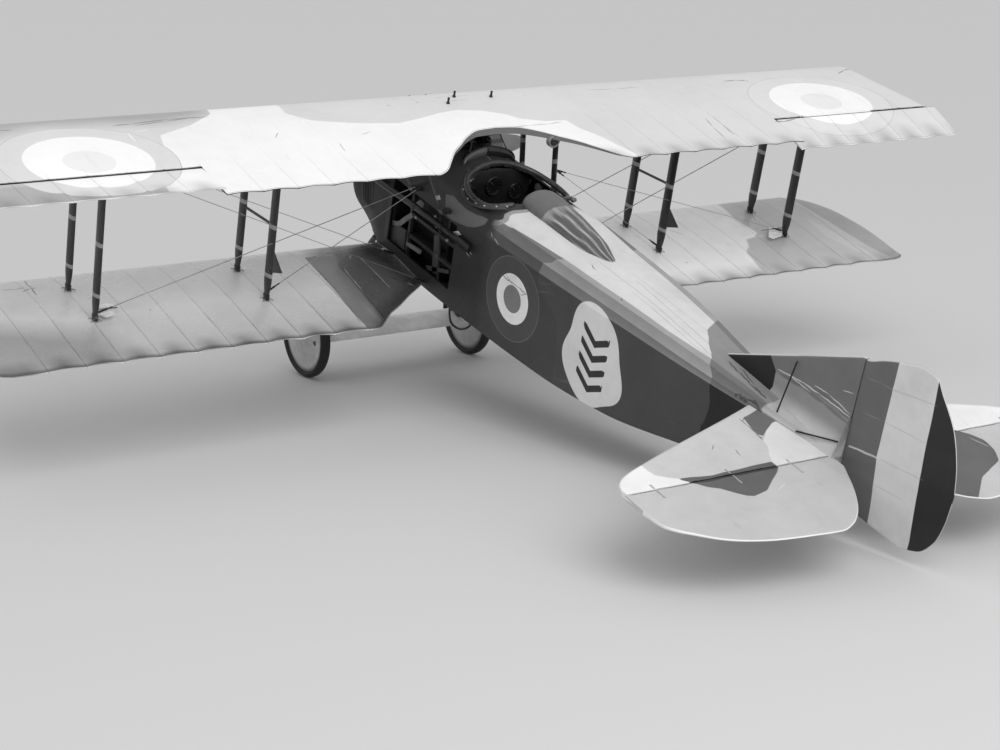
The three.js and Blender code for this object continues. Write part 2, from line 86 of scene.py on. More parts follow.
def lightStudio():
    # one wide soft sun, an even sky and a weak lamp near the camera
    world = bpy.data.worlds.new("world")
    world.use_nodes = True
    world.node_tree.nodes["Background"].inputs["Color"].default_value = (1, 1, 1, 1)
    world.node_tree.nodes["Background"].inputs["Strength"].default_value = studio["sky"]
    scene.world = world
    for name, kind, power, spot in (("sun", "SUN", studio["sun"], studio["sunFrom"]),
                                    ("fill", "AREA", studio["fill"], studio["fillFrom"])):
        data = bpy.data.lights.new(name, kind)
        data.energy = power
        if kind == "SUN":
            data.angle = math.radians(studio["sunSoft"])
        else:
            data.size = 3.0
        lamp = bpy.data.objects.new(name, data)
        scene.collection.objects.link(lamp)
        lamp.location = spot
        lamp.rotation_euler = (-mathutils.Vector(spot)).to_track_quat("-Z", "Y").to_euler()


def layFloor():
    # a flat grid at floor height
    x, y = np.meshgrid(np.linspace(-60, 30, 19), np.linspace(-80, 30, 23))
    p = np.stack([x, y, np.zeros_like(x)], -1).reshape(-1, 3)
    index = np.arange(len(p)).reshape(x.shape)
    quads = np.stack([index[:-1, :-1], index[:-1, 1:], index[1:, 1:], index[1:, :-1]], -1).reshape(-1, 4)
    mesh = bpy.data.meshes.new("floor")
    mesh.from_pydata(p.tolist(), [], quads.tolist())
    floor = bpy.data.objects.new("floor", mesh)
    scene.collection.objects.link(floor)
    pale = bpy.data.materials.new("paleFloor")
    pale.use_nodes = True
    pale.node_tree.nodes["Principled BSDF"].inputs["Base Color"].default_value = (
        studio["floorTone"],) * 3 + (1,)
    pale.node_tree.nodes["Principled BSDF"].inputs["Roughness"].default_value = 0.85
    mesh.materials.append(pale)


placeCamera()
lightStudio()
layFloor()
print("camera, light and floor placed")


# node helpers: each returns the output socket that carries its result

def addNode(tree, kind, links=None, **fields):
    # a link's value is another node's socket, or a plain value for the input
    node = tree.nodes.new(kind)
    for key, value in fields.items():
        setattr(node, key, value)
    for key, value in (links or {}).items():
        if isinstance(value, bpy.types.NodeSocket):
            tree.links.new(value, node.inputs[key])
        else:
            node.inputs[key].default_value = value
    return node


def mark(tree, name):
    # the value that the mesh carries under that name
    return addNode(tree, "ShaderNodeAttribute", attribute_name=name).outputs["Fac"]


def place(tree):
    # the point in the piece's own frame
    return addNode(tree, "ShaderNodeTexCoord").outputs["Object"]


def sums(tree, kind, a, b=0.0, clamp=False):
    # one calculation on two numbers
    return addNode(tree, "ShaderNodeMath", {0: a, 1: b}, operation=kind, use_clamp=clamp).outputs[0]


def times(tree, a, b):
    # a * b
    return sums(tree, "MULTIPLY", a, b)


def plus(tree, a, b):
    # a + b
    return sums(tree, "ADD", a, b)


def minus(tree, a, b):
    # a - b
    return sums(tree, "SUBTRACT", a, b)


def span(tree, value, low, high, start=0.0, end=1.0):
    # start at low, end at high, straight between
    links = {"Value": value, "From Min": low, "From Max": high, "To Min": start, "To Max": end}
    return addNode(tree, "ShaderNodeMapRange", links).outputs[0]


def blendColour(tree, share, first, second, kind="MIX"):
    # the first colour where the share is 0, the second where it is 1
    links = {0: share, 6: first, 7: second}
    return addNode(tree, "ShaderNodeMix", links, data_type="RGBA", blend_type=kind).outputs[2]


def dimmed(tree, share, colour, tone):
    # the colour times a tone, laid over it by the share
    return blendColour(tree, share, colour, blendColour(tree, 1.0, colour, tone, "MULTIPLY"))


def noise(tree, vector, scale, detail=3.0, rough=0.5, stretch=None):
    # even noise at a scale, drawn out along the axes where a stretch is given
    if stretch:
        vector = addNode(tree, "ShaderNodeMapping", {"Vector": vector, "Scale": stretch}).outputs[0]
    links = {"Vector": vector, "Scale": scale, "Detail": detail, "Roughness": rough}
    return addNode(tree, "ShaderNodeTexNoise", links).outputs[0]


def clouds(tree, scale, detail=3.0, rough=0.5, stretch=None):
    # noise over the piece's own frame
    return noise(tree, place(tree), scale, detail, rough, stretch)


def mottle(tree, scale, detail, rough, low=0.0, high=1.0):
    # the middle part of the clouds spread from low to high
    return span(tree, clouds(tree, scale, detail, rough), 0.3, 0.7, low, high)


def newGroup(name, inputs, outputs):
    # an input is a vector where its starting value is one, and every output is a number
    group = bpy.data.node_groups.new(name, "ShaderNodeTree")
    for label, value in inputs.items():
        kind = "NodeSocketVector" if isinstance(value, tuple) else "NodeSocketFloat"
        socket = group.interface.new_socket(name=label, in_out="INPUT", socket_type=kind)
        socket.default_value = value
    for label in outputs:
        group.interface.new_socket(name=label, in_out="OUTPUT", socket_type="NodeSocketFloat")
    start, end = group.nodes.new("NodeGroupInput"), group.nodes.new("NodeGroupOutput")
    return group, start.outputs, end.inputs


def useGroup(tree, group, links):
    # a node group with its inputs linked
    return addNode(tree, "ShaderNodeGroup", links, node_tree=group).outputs


# shared effects

def makePaintEdge():
    # 1 where the distance is under the reach, with an edge that wanders a little
    g, i, o = newGroup("paintEdge", {"Distance": 0, "Reach": 0, "Softness": 0.6, "Wander": 0.6}, ["Mask"])
    waver = times(g, minus(g, clouds(g, 60, 2), 0.5), i["Wander"])
    gap = minus(g, plus(g, i["Reach"], waver), i["Distance"])
    soft = sums(g, "MAXIMUM", i["Softness"], 0.01)
    g.links.new(sums(g, "ADD", sums(g, "DIVIDE", gap, soft), 0.5, True), o["Mask"])
    return g


def makeGrime():
    # smudges: broad clouds broken by finer ones, and thin scratches along Y
    g, i, o = newGroup("grime", {"Size": 6, "Amount": 0.3}, ["Mask", "Scratches"])
    broad = clouds(g, i["Size"], 5, 0.62)
    fine = clouds(g, times(g, i["Size"], 7.3), 3, 0.6)
    cloud = span(g, plus(g, broad, times(g, fine, 0.35)), 0.58, 0.95)
    g.links.new(times(g, cloud, i["Amount"]), o["Mask"])
    lines = clouds(g, 190, 2, 0.5, (0.35, 0.04, 0.35))
    g.links.new(span(g, lines, 0.68, 0.74), o["Scratches"])
    return g


def makeWeave():
    # crossed threads: two sine waves of one pitch, at right angles
    g, i, o = newGroup("weave", {"Pitch": 0.8, "Depth": 1}, ["Height"])
    turn = sums(g, "DIVIDE", 6283.2, i["Pitch"])
    axes = addNode(g, "ShaderNodeSeparateXYZ", {0: place(g)}).outputs
    warp, weft = (sums(g, "SINE", times(g, axes[k], turn)) for k in (0, 1))
    up = sums(g, "SINE", times(g, axes[2], turn))
    height = plus(g, times(g, warp, weft), times(g, up, 0.5))
    g.links.new(times(g, height, i["Depth"]), o["Height"])
    return g


def makeGrain():
    # wood: noise drawn out along one axis, with fine pores in it
    g, i, o = newGroup("woodGrain", {"Vector": (0, 0, 0), "Scale": 30}, ["Figure", "Pores"])
    g.links.new(noise(g, i["Vector"], i["Scale"], 6, 0.65), o["Figure"])
    g.links.new(noise(g, i["Vector"], times(g, i["Scale"], 6), 2, 0.6), o["Pores"])
    return g


def makeWear():
    # chips and rubbed spots: two noises multiplied and cut high
    g, i, o = newGroup("wear", {"Size": 60, "Amount": 0.5}, ["Mask"])
    broad = clouds(g, times(g, i["Size"], 0.23), 2)
    chips = times(g, clouds(g, i["Size"], 4, 0.7), broad)
    low = minus(g, 0.5, times(g, i["Amount"], 0.2))
    g.links.new(span(g, chips, low, plus(g, low, 0.05)), o["Mask"])
    return g


paintEdge, grime, weave, woodGrain, wear = makePaintEdge(), makeGrime(), makeWeave(), makeGrain(), makeWear()


def painted(tree, distance, reach, soft=0.6, wander=0.6):
    # 1 inside the reach of a painted outline and 0 outside, with a soft, wandering edge
    links = {"Distance": distance, "Reach": reach, "Softness": soft, "Wander": wander}
    return useGroup(tree, paintEdge, links)["Mask"]


def wornMask(tree, size, amount):
    # rubbed spots, more of them as the amount grows
    return useGroup(tree, wear, {"Size": size, "Amount": amount})["Mask"]


def smudged(tree, colour, size, amount, tone):
    # the colour times a tone, in smudges
    return dimmed(tree, useGroup(tree, grime, {"Size": size, "Amount": amount})["Mask"], colour, grey(tone))


def vectorSum(tree, kind, a, b=None, out=0):
    # one step of vector arithmetic; SCALE takes its factor in the fourth input
    links = {0: a} if b is None else {0: a, (3 if kind == "SCALE" else 1): b}
    return addNode(tree, "ShaderNodeVectorMath", links, operation=kind).outputs[out]


def levelPlace(tree):
    # Object coordinates turned back to the level millimetres that the shapes are drawn in
    links = {"Vector": place(tree), "Location": tuple(park((0, 0, 0))), "Scale": (0.001, 0.001, 0.001),
             "Rotation": (-math.radians(parking["noseUp"]), 0, 0)}
    return addNode(tree, "ShaderNodeMapping", links, vector_type="TEXTURE").outputs[0]


def makeStroke():
    # 1 on the straight line from Start to End: gap to the line against a reach that thins towards both ends
    g, i, o = newGroup("stroke", {"Place": (0, 0, 0), "Start": (0, 0, 0), "End": (0, 1, 0),
                                  "Flat": (1, 1, 0), "Reach": 1.0, "Taper": 0.8}, ["Mask"])
    start = vectorSum(g, "MULTIPLY", i["Start"], i["Flat"])
    along = vectorSum(g, "SUBTRACT", vectorSum(g, "MULTIPLY", i["End"], i["Flat"]), start)
    away = vectorSum(g, "SUBTRACT", vectorSum(g, "MULTIPLY", i["Place"], i["Flat"]), start)
    length = sums(g, "MAXIMUM", vectorSum(g, "DOT_PRODUCT", along, along, 1), 0.01)
    share = sums(g, "DIVIDE", vectorSum(g, "DOT_PRODUCT", away, along, 1), length, True)
    near = vectorSum(g, "SCALE", along, share)
    gap = vectorSum(g, "LENGTH", vectorSum(g, "SUBTRACT", away, near), None, 1)
    fromMiddle = minus(g, times(g, share, 2), 1)
    thin = minus(g, 1, times(g, times(g, fromMiddle, fromMiddle), i["Taper"]))
    soft = plus(g, times(g, i["Reach"], 0.45), 0.12)
    left = minus(g, times(g, i["Reach"], thin), gap)
    g.links.new(sums(g, "ADD", sums(g, "DIVIDE", left, soft), 0.5, True), o["Mask"])
    return g


stroke = makeStroke()


def strokes(tree, rows, flat=(1, 1, 0), wander=1.0):
    # the greatest mask of several lines; a row is (reach, taper, points), two numbers a point in the
    # plane of flat
    waver = addNode(tree, "ShaderNodeTexNoise",
                    {"Vector": place(tree), "Scale": 70.0, "Detail": 3.0}).outputs["Color"]
    waver = vectorSum(tree, "SCALE", vectorSum(tree, "SUBTRACT", waver, (0.5, 0.5, 0.5)), wander * 3.0)
    at = vectorSum(tree, "ADD", levelPlace(tree), waver)
    best = None
    for reach, taper, points in rows:
        ends = [(*p, 0) if flat[2] == 0 else (0, *p) for p in (points if len(points) > 1 else points * 2)]
        for a, b in zip(ends[:-1], ends[1:]):
            links = {"Place": at, "Start": a, "End": b, "Flat": flat, "Reach": reach, "Taper": taper}
            mask = useGroup(tree, stroke, links)["Mask"]
            best = mask if best is None else sums(tree, "MAXIMUM", best, mask)
    return best


def drawnLines(tree, colour, tone, strength, rows, flat=(1, 1, 0), wander=1.0):
    # thin lines blended over a colour; rows are (reach, taper, points)
    return blendColour(tree, times(tree, strokes(tree, rows, flat, wander), strength), colour, grey(tone))


def grey(tone, warm=0.0):
    # linear colour of a tone from 0 to 255, by the display's own curve
    c = tone / 255
    v = c / 12.92 if c < 0.04045 else ((c + 0.055) / 1.055) ** 2.4
    return (v * (1 + warm), v, v * (1 - warm), 1)


def newMaterial(name, base, rough=0.6, metal=0.0, coat=0.0, normal=None, **other):
    # each input is a plain value, or a function of the tree that makes the socket for it
    material = bpy.data.materials.new(name)
    material.use_nodes = True
    tree = material.node_tree
    tree.nodes.clear()
    values = {"Base Color": base, "Roughness": rough, "Metallic": metal, "Coat Weight": coat,
              "Normal": normal, **{k.replace("_", " "): v for k, v in other.items()}}
    links = {k: v(tree) if callable(v) else v for k, v in values.items() if v is not None}
    shader = addNode(tree, "ShaderNodeBsdfPrincipled", links)
    addNode(tree, "ShaderNodeOutputMaterial", {"Surface": shader.outputs[0]})
    return material


def bump(tree, height, depth, strength=1.0):
    # a height in metres turned into a normal
    return addNode(tree, "ShaderNodeBump",
                   {"Height": height, "Distance": depth, "Strength": strength}).outputs[0]


def mottled(scale, detail, rough, low, high):
    # a maker of cloudy values, for the roughness of a material
    return lambda tree: mottle(tree, scale, detail, rough, low, high)


def rippled(scale, detail, rough, depth, strength, stretch=None):
    # a maker of a bumpy normal from the clouds
    return lambda tree: bump(tree, clouds(tree, scale, detail, rough, stretch), depth, strength)


# surface helpers: a shape is (points, faces, marks), faces a list of index arrays

def cubic(t, step, first, last, leaves, comes):
    # the cubic piece from first to last with the slopes at its two ends
    return ((2 * t**3 - 3 * t**2 + 1) * first + (t**3 - 2 * t**2 + t) * step * leaves
            + (3 * t**2 - 2 * t**3) * last + (t**3 - t**2) * step * comes)


def curveThrough(xs, ys, x):
    # cubic pieces through the rows; each slope is the harmonic mean of its neighbours', 0 at a turn
    xs, ys, x = np.asarray(xs, float), np.asarray(ys, float), np.asarray(x, float)
    h = np.diff(xs)
    d = np.diff(ys) / h
    same = d[:-1] * d[1:] > 0
    inner = np.where(same, 2 * d[:-1] * d[1:] / np.where(same, d[:-1] + d[1:], 1), 0)
    m = np.concatenate([[d[0]], inner, [d[-1]]])
    i = np.clip(np.searchsorted(xs, x, side="right") - 1, 0, len(h) - 1)
    return cubic(np.clip((x - xs[i]) / h[i], 0, 1), h[i], ys[i], ys[i + 1], m[i], m[i + 1])


def linesThrough(rows, x):
    # straight lines from row to row
    rows = np.asarray(rows, float)
    return np.interp(x, rows[:, 0], rows[:, 1])


def bandsThrough(rows, x):
    # the smooth curve of each further column of the rows, at x
    rows = np.asarray(rows, float)
    return [curveThrough(rows[:, 0], column, x) for column in rows[:, 1:].T]


def smoothStep(a, b, x):
    # 0 before a, 1 after b, and t * t * (3 - 2 * t) between them
    t = np.clip((np.asarray(x, float) - a) / (b - a), 0, 1)
    return t * t * (3 - 2 * t)


def gridShape(p, wrap=False, keep=None, marks=None, caps=(False, False)):
    # p is (rows, across, 3); wrap joins the last column to the first;
    # caps close the first and last row to their middle
    rows, cols = p.shape[:2]
    index = np.arange(rows * cols).reshape(rows, cols)
    if wrap:
        index = np.concatenate([index, index[:, :1]], 1)
    quads = np.stack([index[:-1, :-1], index[:-1, 1:], index[1:, 1:], index[1:, :-1]], -1)
    quads = quads[keep] if keep is not None else quads.reshape(-1, 4)
    points, faces = p.reshape(-1, 3), [quads]
    marks = {k: np.asarray(v, float).reshape(-1) for k, v in (marks or {}).items()}
    for row, wanted in ((0, caps[0]), (rows - 1, caps[1])):
        if wanted:
            centre = len(points)
            points = np.vstack([points, p[row].mean(0)])
            marks = {k: np.append(v, v[row * cols:(row + 1) * cols].mean()) for k, v in marks.items()}
            ring = index[row]
            a, b = (ring[:-1], ring[1:]) if row else (ring[1:], ring[:-1])
            faces.append(np.stack([a, b, np.full(len(a), centre)], -1))
    return points, faces, marks


def outward(shape):
    # turns the faces round where the volume that they close comes out negative
    p, faces, marks = shape
    volume = 0
    for f in faces:
        for k in range(1, f.shape[1] - 1):
            volume += np.einsum("ij,ij->", p[f[:, 0]], np.cross(p[f[:, k]], p[f[:, k + 1]]))
    return (p, [f[:, ::-1] for f in faces], marks) if volume < 0 else shape


def joinShapes(shapes):
    # several shapes as one; a mark that a shape lacks is 0 there
    names = sorted({n for s in shapes for n in s[2]})
    points, faces, marks, start = [], [], {n: [] for n in names}, 0
    for p, f, m in shapes:
        points.append(p)
        faces += [a + start for a in f]
        for n in names:
            marks[n].append(m.get(n, np.zeros(len(p))))
        start += len(p)
    return np.vstack(points), faces, {n: np.concatenate(v) for n, v in marks.items()}


def circle(count):
    # count points on a circle of radius 1
    t = np.arange(count) * 2 * np.pi / count
    return np.stack([np.cos(t), np.sin(t)], -1)


def runAlong(path):
    # the length from the first point to each point
    return np.concatenate([[0], np.cumsum(np.linalg.norm(np.diff(path, axis=0), axis=1))])


def moved(shape, turn=None, mirror=False):
    # turn is (axis number, degrees, centre); mirror swaps port and starboard and turns the faces
    # round again
    p, f, m = shape
    p = np.array(p, float)
    if turn:
        axis, angle, centre = turn
        a, b = [(1, 2), (2, 0), (0, 1)][axis]
        q = p - centre
        c, s = math.cos(math.radians(angle)), math.sin(math.radians(angle))
        p = q.copy()
        p[:, a], p[:, b] = q[:, a] * c - q[:, b] * s, q[:, a] * s + q[:, b] * c
        p = p + centre
    if mirror:
        p = p * [-1, 1, 1]
        f = [a[:, ::-1] for a in f]
    return p, f, m


def pathShape(path, size, sides=10, profile=None, aim=(0, 0, 1), closed=False):
    # a profile carried along a path: at each point two axes square to the tangent, the second
    # nearest to aim
    path = np.asarray(path, float)
    tangent = (np.roll(path, -1, 0) - np.roll(path, 1, 0)) if closed else np.gradient(path, axis=0)
    tangent /= np.linalg.norm(tangent, axis=1, keepdims=True)
    aims = np.broadcast_to(np.asarray(aim, float), path.shape)
    along = np.abs((aims * tangent).sum(1, keepdims=True)) > 0.9999
    aims = np.where(along, (0.0, 1.0, 0.0), aims)  # where the path runs along aim, Y takes its place
    v = aims - (aims * tangent).sum(1, keepdims=True) * tangent
    v /= np.linalg.norm(v, axis=1, keepdims=True)
    u = np.cross(v, tangent)
    profile = circle(sides) if profile is None else profile
    count = len(profile)
    size = np.broadcast_to(np.asarray(size, float).reshape(-1, 1) if np.ndim(size) else size, (len(path), 1))
    across, up = profile[None, :, 0] * size, profile[None, :, 1] * size
    p = path[:, None] + across[..., None] * u[:, None] + up[..., None] * v[:, None]
    marks = {"alongMm": np.repeat(runAlong(path), count),
             "aroundShare": np.tile(np.arange(count) / count, len(path))}
    if not closed:
        return outward(gridShape(p, True, marks=marks, caps=(True, True)))
    # the last row of cells comes back to the first ring
    longer = {k: np.append(v, v[:count]) for k, v in marks.items()}
    points, faces, marks = gridShape(np.concatenate([p, p[:1]]), True, marks=longer)
    whole = len(path) * count
    return outward((points[:whole], [f % whole for f in faces], {k: v[:whole] for k, v in marks.items()}))


def turnedShape(rows, centre, axis=1, sides=32):
    # a profile of [radius, along] spun about an axis through centre
    rows = np.asarray(rows, float)
    a, b = [(1, 2), (2, 0), (0, 1)][axis]
    p = np.zeros((len(rows), sides, 3))
    p[..., axis] = rows[:, 1, None]
    p[..., [a, b]] = rows[:, 0, None, None] * circle(sides)
    marks = {"radiusMm": np.repeat(rows[:, 0], sides)}
    caps = (rows[0, 0] > 0, rows[-1, 0] > 0)
    return outward(gridShape(p + np.asarray(centre, float), True, caps=caps, marks=marks))


def plateShape(outline, thick, axis=0, at=0.0, edge=0.6):
    # an outline carried across a thickness with rounded edges: rings shrink to the outline's middle
    # on both faces
    outline = np.asarray(outline, float)
    centre = outline.mean(0)
    half = [(0.5, 0.5), (1 - edge, 0.5), (1 - edge * 0.3, 0.42), (1.0, 0.2)]
    rings = [(share, -up) for share, up in half] + half[::-1]
    p = np.zeros((len(rings), len(outline), 3))
    a, b = [(1, 2), (0, 2), (0, 1)][axis]
    for k, (share, up) in enumerate(rings):
        p[k][:, [a, b]] = centre + (outline - centre) * share
        p[k][:, axis] = at + up * thick
    return outward(gridShape(p, True, caps=(True, True)))


def makePiece(name, shape, material, body="airframe", replaces=(), sharp=None):
    # a mesh from the shape, parked, with its marks as attributes; it rides a body and may stand for nodes
    points, faces, marks = outward(shape)
    mesh = bpy.data.meshes.new(name)
    co = park(points).astype(np.float32)
    mesh.vertices.add(len(co))
    mesh.vertices.foreach_set("co", co.ravel())
    faces = [f for f in faces if len(f)]
    sizes = np.concatenate([np.full(len(f), f.shape[1]) for f in faces])
    loops = np.concatenate([f.ravel() for f in faces]).astype(np.int32)
    mesh.loops.add(len(loops))
    mesh.loops.foreach_set("vertex_index", loops)
    mesh.polygons.add(len(sizes))
    mesh.polygons.foreach_set("loop_start", np.concatenate([[0], np.cumsum(sizes)[:-1]]).astype(np.int32))
    mesh.polygons.foreach_set("use_smooth", np.ones(len(sizes), bool))
    for key, values in marks.items():
        mesh.attributes.new(key, "FLOAT", "POINT").data.foreach_set("value", np.asarray(values, np.float32))
    mesh.update(calc_edges=True)
    mesh.validate()
    if sharp:
        mesh.set_sharp_from_angle(angle=math.radians(sharp))
    piece = bpy.data.objects.new(name, mesh)
    scene.collection.objects.link(piece)
    mesh.materials.append(material)
    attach(piece, body)
    if replaces:
        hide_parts(replaces)
    return piece


def outlineDistance(points, outline):
    # signed distance in the plane to a closed outline, negative inside
    p, a = np.asarray(points, float), np.asarray(outline, float)
    b = np.roll(a, -1, 0)
    best, inside = np.full(len(p), 1e9), np.zeros(len(p), bool)
    for (ax, ay), (bx, by) in zip(a, b):
        d = np.array([bx - ax, by - ay])
        t = np.clip(((p - [ax, ay]) @ d) / max(d @ d, 1e-9), 0, 1)
        best = np.minimum(best, np.linalg.norm(p - [ax, ay] - t[:, None] * d, axis=1))
        crosses = ((ay > p[:, 1]) != (by > p[:, 1])) & (p[:, 0] < (bx - ax) * (p[:, 1] - ay)
            / ((by - ay) or 1e-9) + ax)
        inside ^= crosses
    return np.where(inside, -best, best)


# painted cloth: a ground tone, then layers cut by distance marks

def layerColour(tree, ground, layers, wander=0.5):
    # each layer is (mark, reach, softness, tone): its tone covers what lies nearer than reach
    colour = ground
    for name, reach, soft, tone in layers:
        mask = painted(tree, mark(tree, name), reach, soft, wander)
        colour = blendColour(tree, mask, colour, grey(tone))
    return colour


def clothBump(tree, pitch, slackScale, slackHeight, extra=None):
    # threads with slack cloth under them, and an extra height where there is one
    height = times(tree, clouds(tree, slackScale, 3, 0.55), slackHeight)
    height = plus(tree, useGroup(tree, weave, {"Pitch": pitch, "Depth": 0.25})["Height"], height)
    return plus(tree, height, extra) if extra else height


def dopedCloth(name, ground, layers, rough=0.5, coat=0.0, ribShade=0.1, dirt=0.22, patchy=0.07, lines=(),
               folds=(), flat=(1, 1, 0), gradient=None, hollow=0.0, **other):
    # ground tone, painted layers, rib lines, painted shade in the hollows between ribs near the trailing
    # edge, drawn lines of (tone, strength, rows), smudges and scratches
    def base(tree):
        colour = gradient(tree, grey(ground)) if gradient else grey(ground)
        colour = layerColour(tree, colour, layers)
        colour = dimmed(tree, mottle(tree, 7, 4, 0.6, 0, patchy * 2), colour, grey(214))
        if ribShade:
            line = times(tree, painted(tree, mark(tree, "ribMm"), 0.75, 1.1, 1.2), ribShade)
            colour = blendColour(tree, times(tree, line, mark(tree, "ribFade")), colour, grey(50))
        # painted shade: between the ribs the cloth darkens towards the trailing edge
        if hollow:
            dip = span(tree, mark(tree, "edgeMm"), 48, 5, 0, hollow)
            dip = times(tree, span(tree, mark(tree, "ribMm"), 2, 30), dip)
            dip = times(tree, dip, span(tree, mark(tree, "ribFade"), 0.86, 1.0))
            colour = dimmed(tree, dip, colour, grey(110))
        for tone, strength, rows in lines:
            colour = drawnLines(tree, colour, tone, strength, rows, flat)
        smudge = useGroup(tree, grime, {"Size": 5.5, "Amount": dirt})
        colour = dimmed(tree, smudge["Mask"], colour, grey(168, 0.02))
        return blendColour(tree, times(tree, smudge["Scratches"], dirt * 0.4), colour, grey(90))

    def roughness(tree):
        return mottle(tree, 11, 4, 0.6, rough - 0.06, rough + 0.1)

    def surface(tree):
        ridges = times(tree, strokes(tree, folds, flat), 5.0) if folds else None
        return bump(tree, clothBump(tree, 1.1, 26, 3.2, ridges), 0.0003, 0.5)

    return newMaterial(name, base, roughness, 0, coat, surface, **other)


# wings

wingRows = [[0, 0, 0], [0.02, 0.018, -0.009], [0.07, 0.034, -0.011], [0.16, 0.045, -0.008],
            [0.3, 0.049, -0.003], [0.5, 0.042, 0.0], [0.75, 0.023, 0.002], [1, 0.0025, -0.0025]]
upperWing = {
    "chord": 347.2, "plane": 0.0, "ribStart": 217, "ribPitch": 66.25, "ribs": 13, "sag": 0.22,
    "sagRear": 2.2, "tape": 0.3,
    "scallop": 5, "cut": [[0, 197], [40, 202], [78, 224], [107, 250], [132, 272], [160, 305], [185, 334],
                          [214, 352]],
    "tip": [[985, 0], [1000, 84], [1014, 165], [1028, 242]], "aileronFrom": 616.6, "bayBack": 251.0,
    "whiteArea": [(482, -10), (499, 48), (559, 94), (631, 126), (650, 190), (660, 262), (705, 300),
                  (718, 360), (560, 380), (0, 380), (-229, 365), (-221, 344), (-206, 302), (-191, 260),
                  (-169, 226), (-160, 189), (-116, 187), (-72, 169), (-54, 146), (-13, 123), (30, 113),
                  (71, 119), (124, 136), (174, 149), (231, 141), (285, 129), (335, 111), (364, 72),
                  (353, 20), (350, -10)],
    # areas of painted shade: over the port leading edge outboard, and over the outboard aileron
    "portShadeArea": [(452, -40), (1080, -40), (1080, 150), (940, 96), (820, 62), (700, 70), (600, 84), (500, 60)],
    "aileronShadeArea": [(735, 256), (1080, 256), (1080, 380), (700, 380)],
    "roundel": {"port": (790.7, 201.4, 1, 0.88), "starboard": (783.7, 194.4, 1.07, 0.83)},
    "hatches": [(-150, 150, 64, 197), (-78, 69, 44, 67), (87, 186, 37, 66)],
    # crease lines are drawn dark as painted shade in the folds
    "creases": [(2.0, 0.8, [(693, 72), (659, 69), (584, 59), (509, 61)]),
                (1.6, 0.9, [(654, 77), (594, 67), (548, 61)]), (1.8, 0.8, [(885, 57), (866, 58)]),
                (2.2, 0.7, [(-631, 66), (-664, 65), (-689, 75)]),
                (2.0, 0.8, [(-934, 70), (-965, 53), (-994, 43)]),
                (1.5, 0.6, [(-609, 262), (-629, 264), (-663, 259)]), (1.2, 0.6, [(-615, 257), (-655, 254)]),
                (1.3, 0.9, [(-463, 225), (-456, 260), (-450, 311)]),
                (1.0, 0.9, [(-485, 219), (-482, 255), (-478, 300)]),
                (1.1, 0.8, [(-40, 200), (-74, 199), (-115, 199), (-149, 195)]),
                (1.0, 0.9, [(-300, 60), (-360, 66), (-420, 64)]), (0.9, 0.8, [(420, 150), (436, 170)]),
                (0.9, 0.8, [(250, 175), (272, 182)]), (0.8, 0.8, [(330, 205), (336, 240)])],
    # painted shade in the hinge gaps, and a painted highlight beside the port gap
    "hingeGapShade": [(3.6, 0.06, [(616, 251.2), (1036, 252.4)]), (1.4, 0.3, [(-866, 250.6), (-1032, 250.8)]),
                   (1.2, 0.2, [(-616, 250.6), (-680, 250.6)])],
    "hingeHighlight": [(0.7, 0.06, [(640, 248.2), (1030, 248.2)])], "strip": (-688, -866),
    "rubbed": [(1.6, 0.7, [(682, 108), (683, 142)]), (1.2, 0.8, [(668, 104), (640, 100)]),
               (1.0, 0.8, [(-820, 96), (-790, 92)])],
}
aileronForm = {"hinge": 257.4, "hingeUp": 5.5, "nose": 3.7, "rest": {"port": 7, "starboard": -12},
               "cup": 4.5}
lowerWing = {
    "plane": -289.3, "front": 7.1, "chord": 329.7, "ribStart": 300, "ribPitch": 66.22, "ribs": 10,
    "sag": 0.4, "sagRear": 4.4, "tape": 0.5, "scallop": 7,
    "plan": [[101, 7.1, 189], [122, 7.1, 206], [152, 7.1, 228], [195, 7.1, 264], [226, 7.1, 286],
             [250, 7.1, 310], [272, 7.1, 333], [285, 7.1, 336.8], [896, 7.1, 336.8], [930, 20, 336],
             [955, 46, 336], [972, 80, 331], [982, 130, 322]],
}


def sectionHeights(share):
    # heights over the chord plane as parts of chord;
    # the curve runs on the root of the share, so the nose is round
    q = np.sqrt(np.clip(share, 0, 1))
    rows = np.asarray(wingRows)
    return tuple(curveThrough(np.sqrt(rows[:, 0]), rows[:, c], q) for c in (1, 2))


def baysAcross(x, form):
    # distance to the nearest rib, and a curve that is 0 at ribs and 1 between them
    pitch = form["ribPitch"]
    bay = np.clip((np.abs(x) - form["ribStart"]) / pitch, -0.5, form["ribs"] - 0.5)
    gap = np.abs(bay - np.round(bay)) * pitch
    return gap, 1 - (1 - gap / (pitch / 2)) ** 2


def ribStations(form, first, last):
    # close stations at each rib for its ridge, wider ones between
    start, pitch, count = form["ribStart"], form["ribPitch"], form["ribs"]
    offsets = np.array([0, 1.0, 2.4, 5, 10, 16, 22.5, 29, 33.1, 37.3, 43.8, 50.3, 56.3, 61.3, 63.9, 65.3])
    x = (start + pitch * np.arange(-1, count + 1))[:, None] + offsets * pitch / 66.25
    x = np.unique(np.round(x.ravel(), 3))
    return x[(x > first + 0.4) & (x < last - 0.4)]


def slackIn(x, share, thick, form):
    # how far the cloth sinks between ribs: even over the chord, more towards the trailing edge, less
    # where the wing is thin
    gap, open01 = baysAcross(x, form)
    inside = np.abs(x) > form["ribStart"] - form["ribPitch"] * 0.5
    bays = 1 + 0.3 * np.sin(np.floor((np.abs(x) - form["ribStart"]) / form["ribPitch"]) * 2.4 + (x > 0))
    slack = form["sag"] + form["sagRear"] * smoothStep(0.66, 0.95, share)
    return np.where(inside, open01 * bays, 0)[:, None] * slack * np.clip(thick / 9, 0, 1) * smoothStep(0.1,
        0.22, share), gap, inside


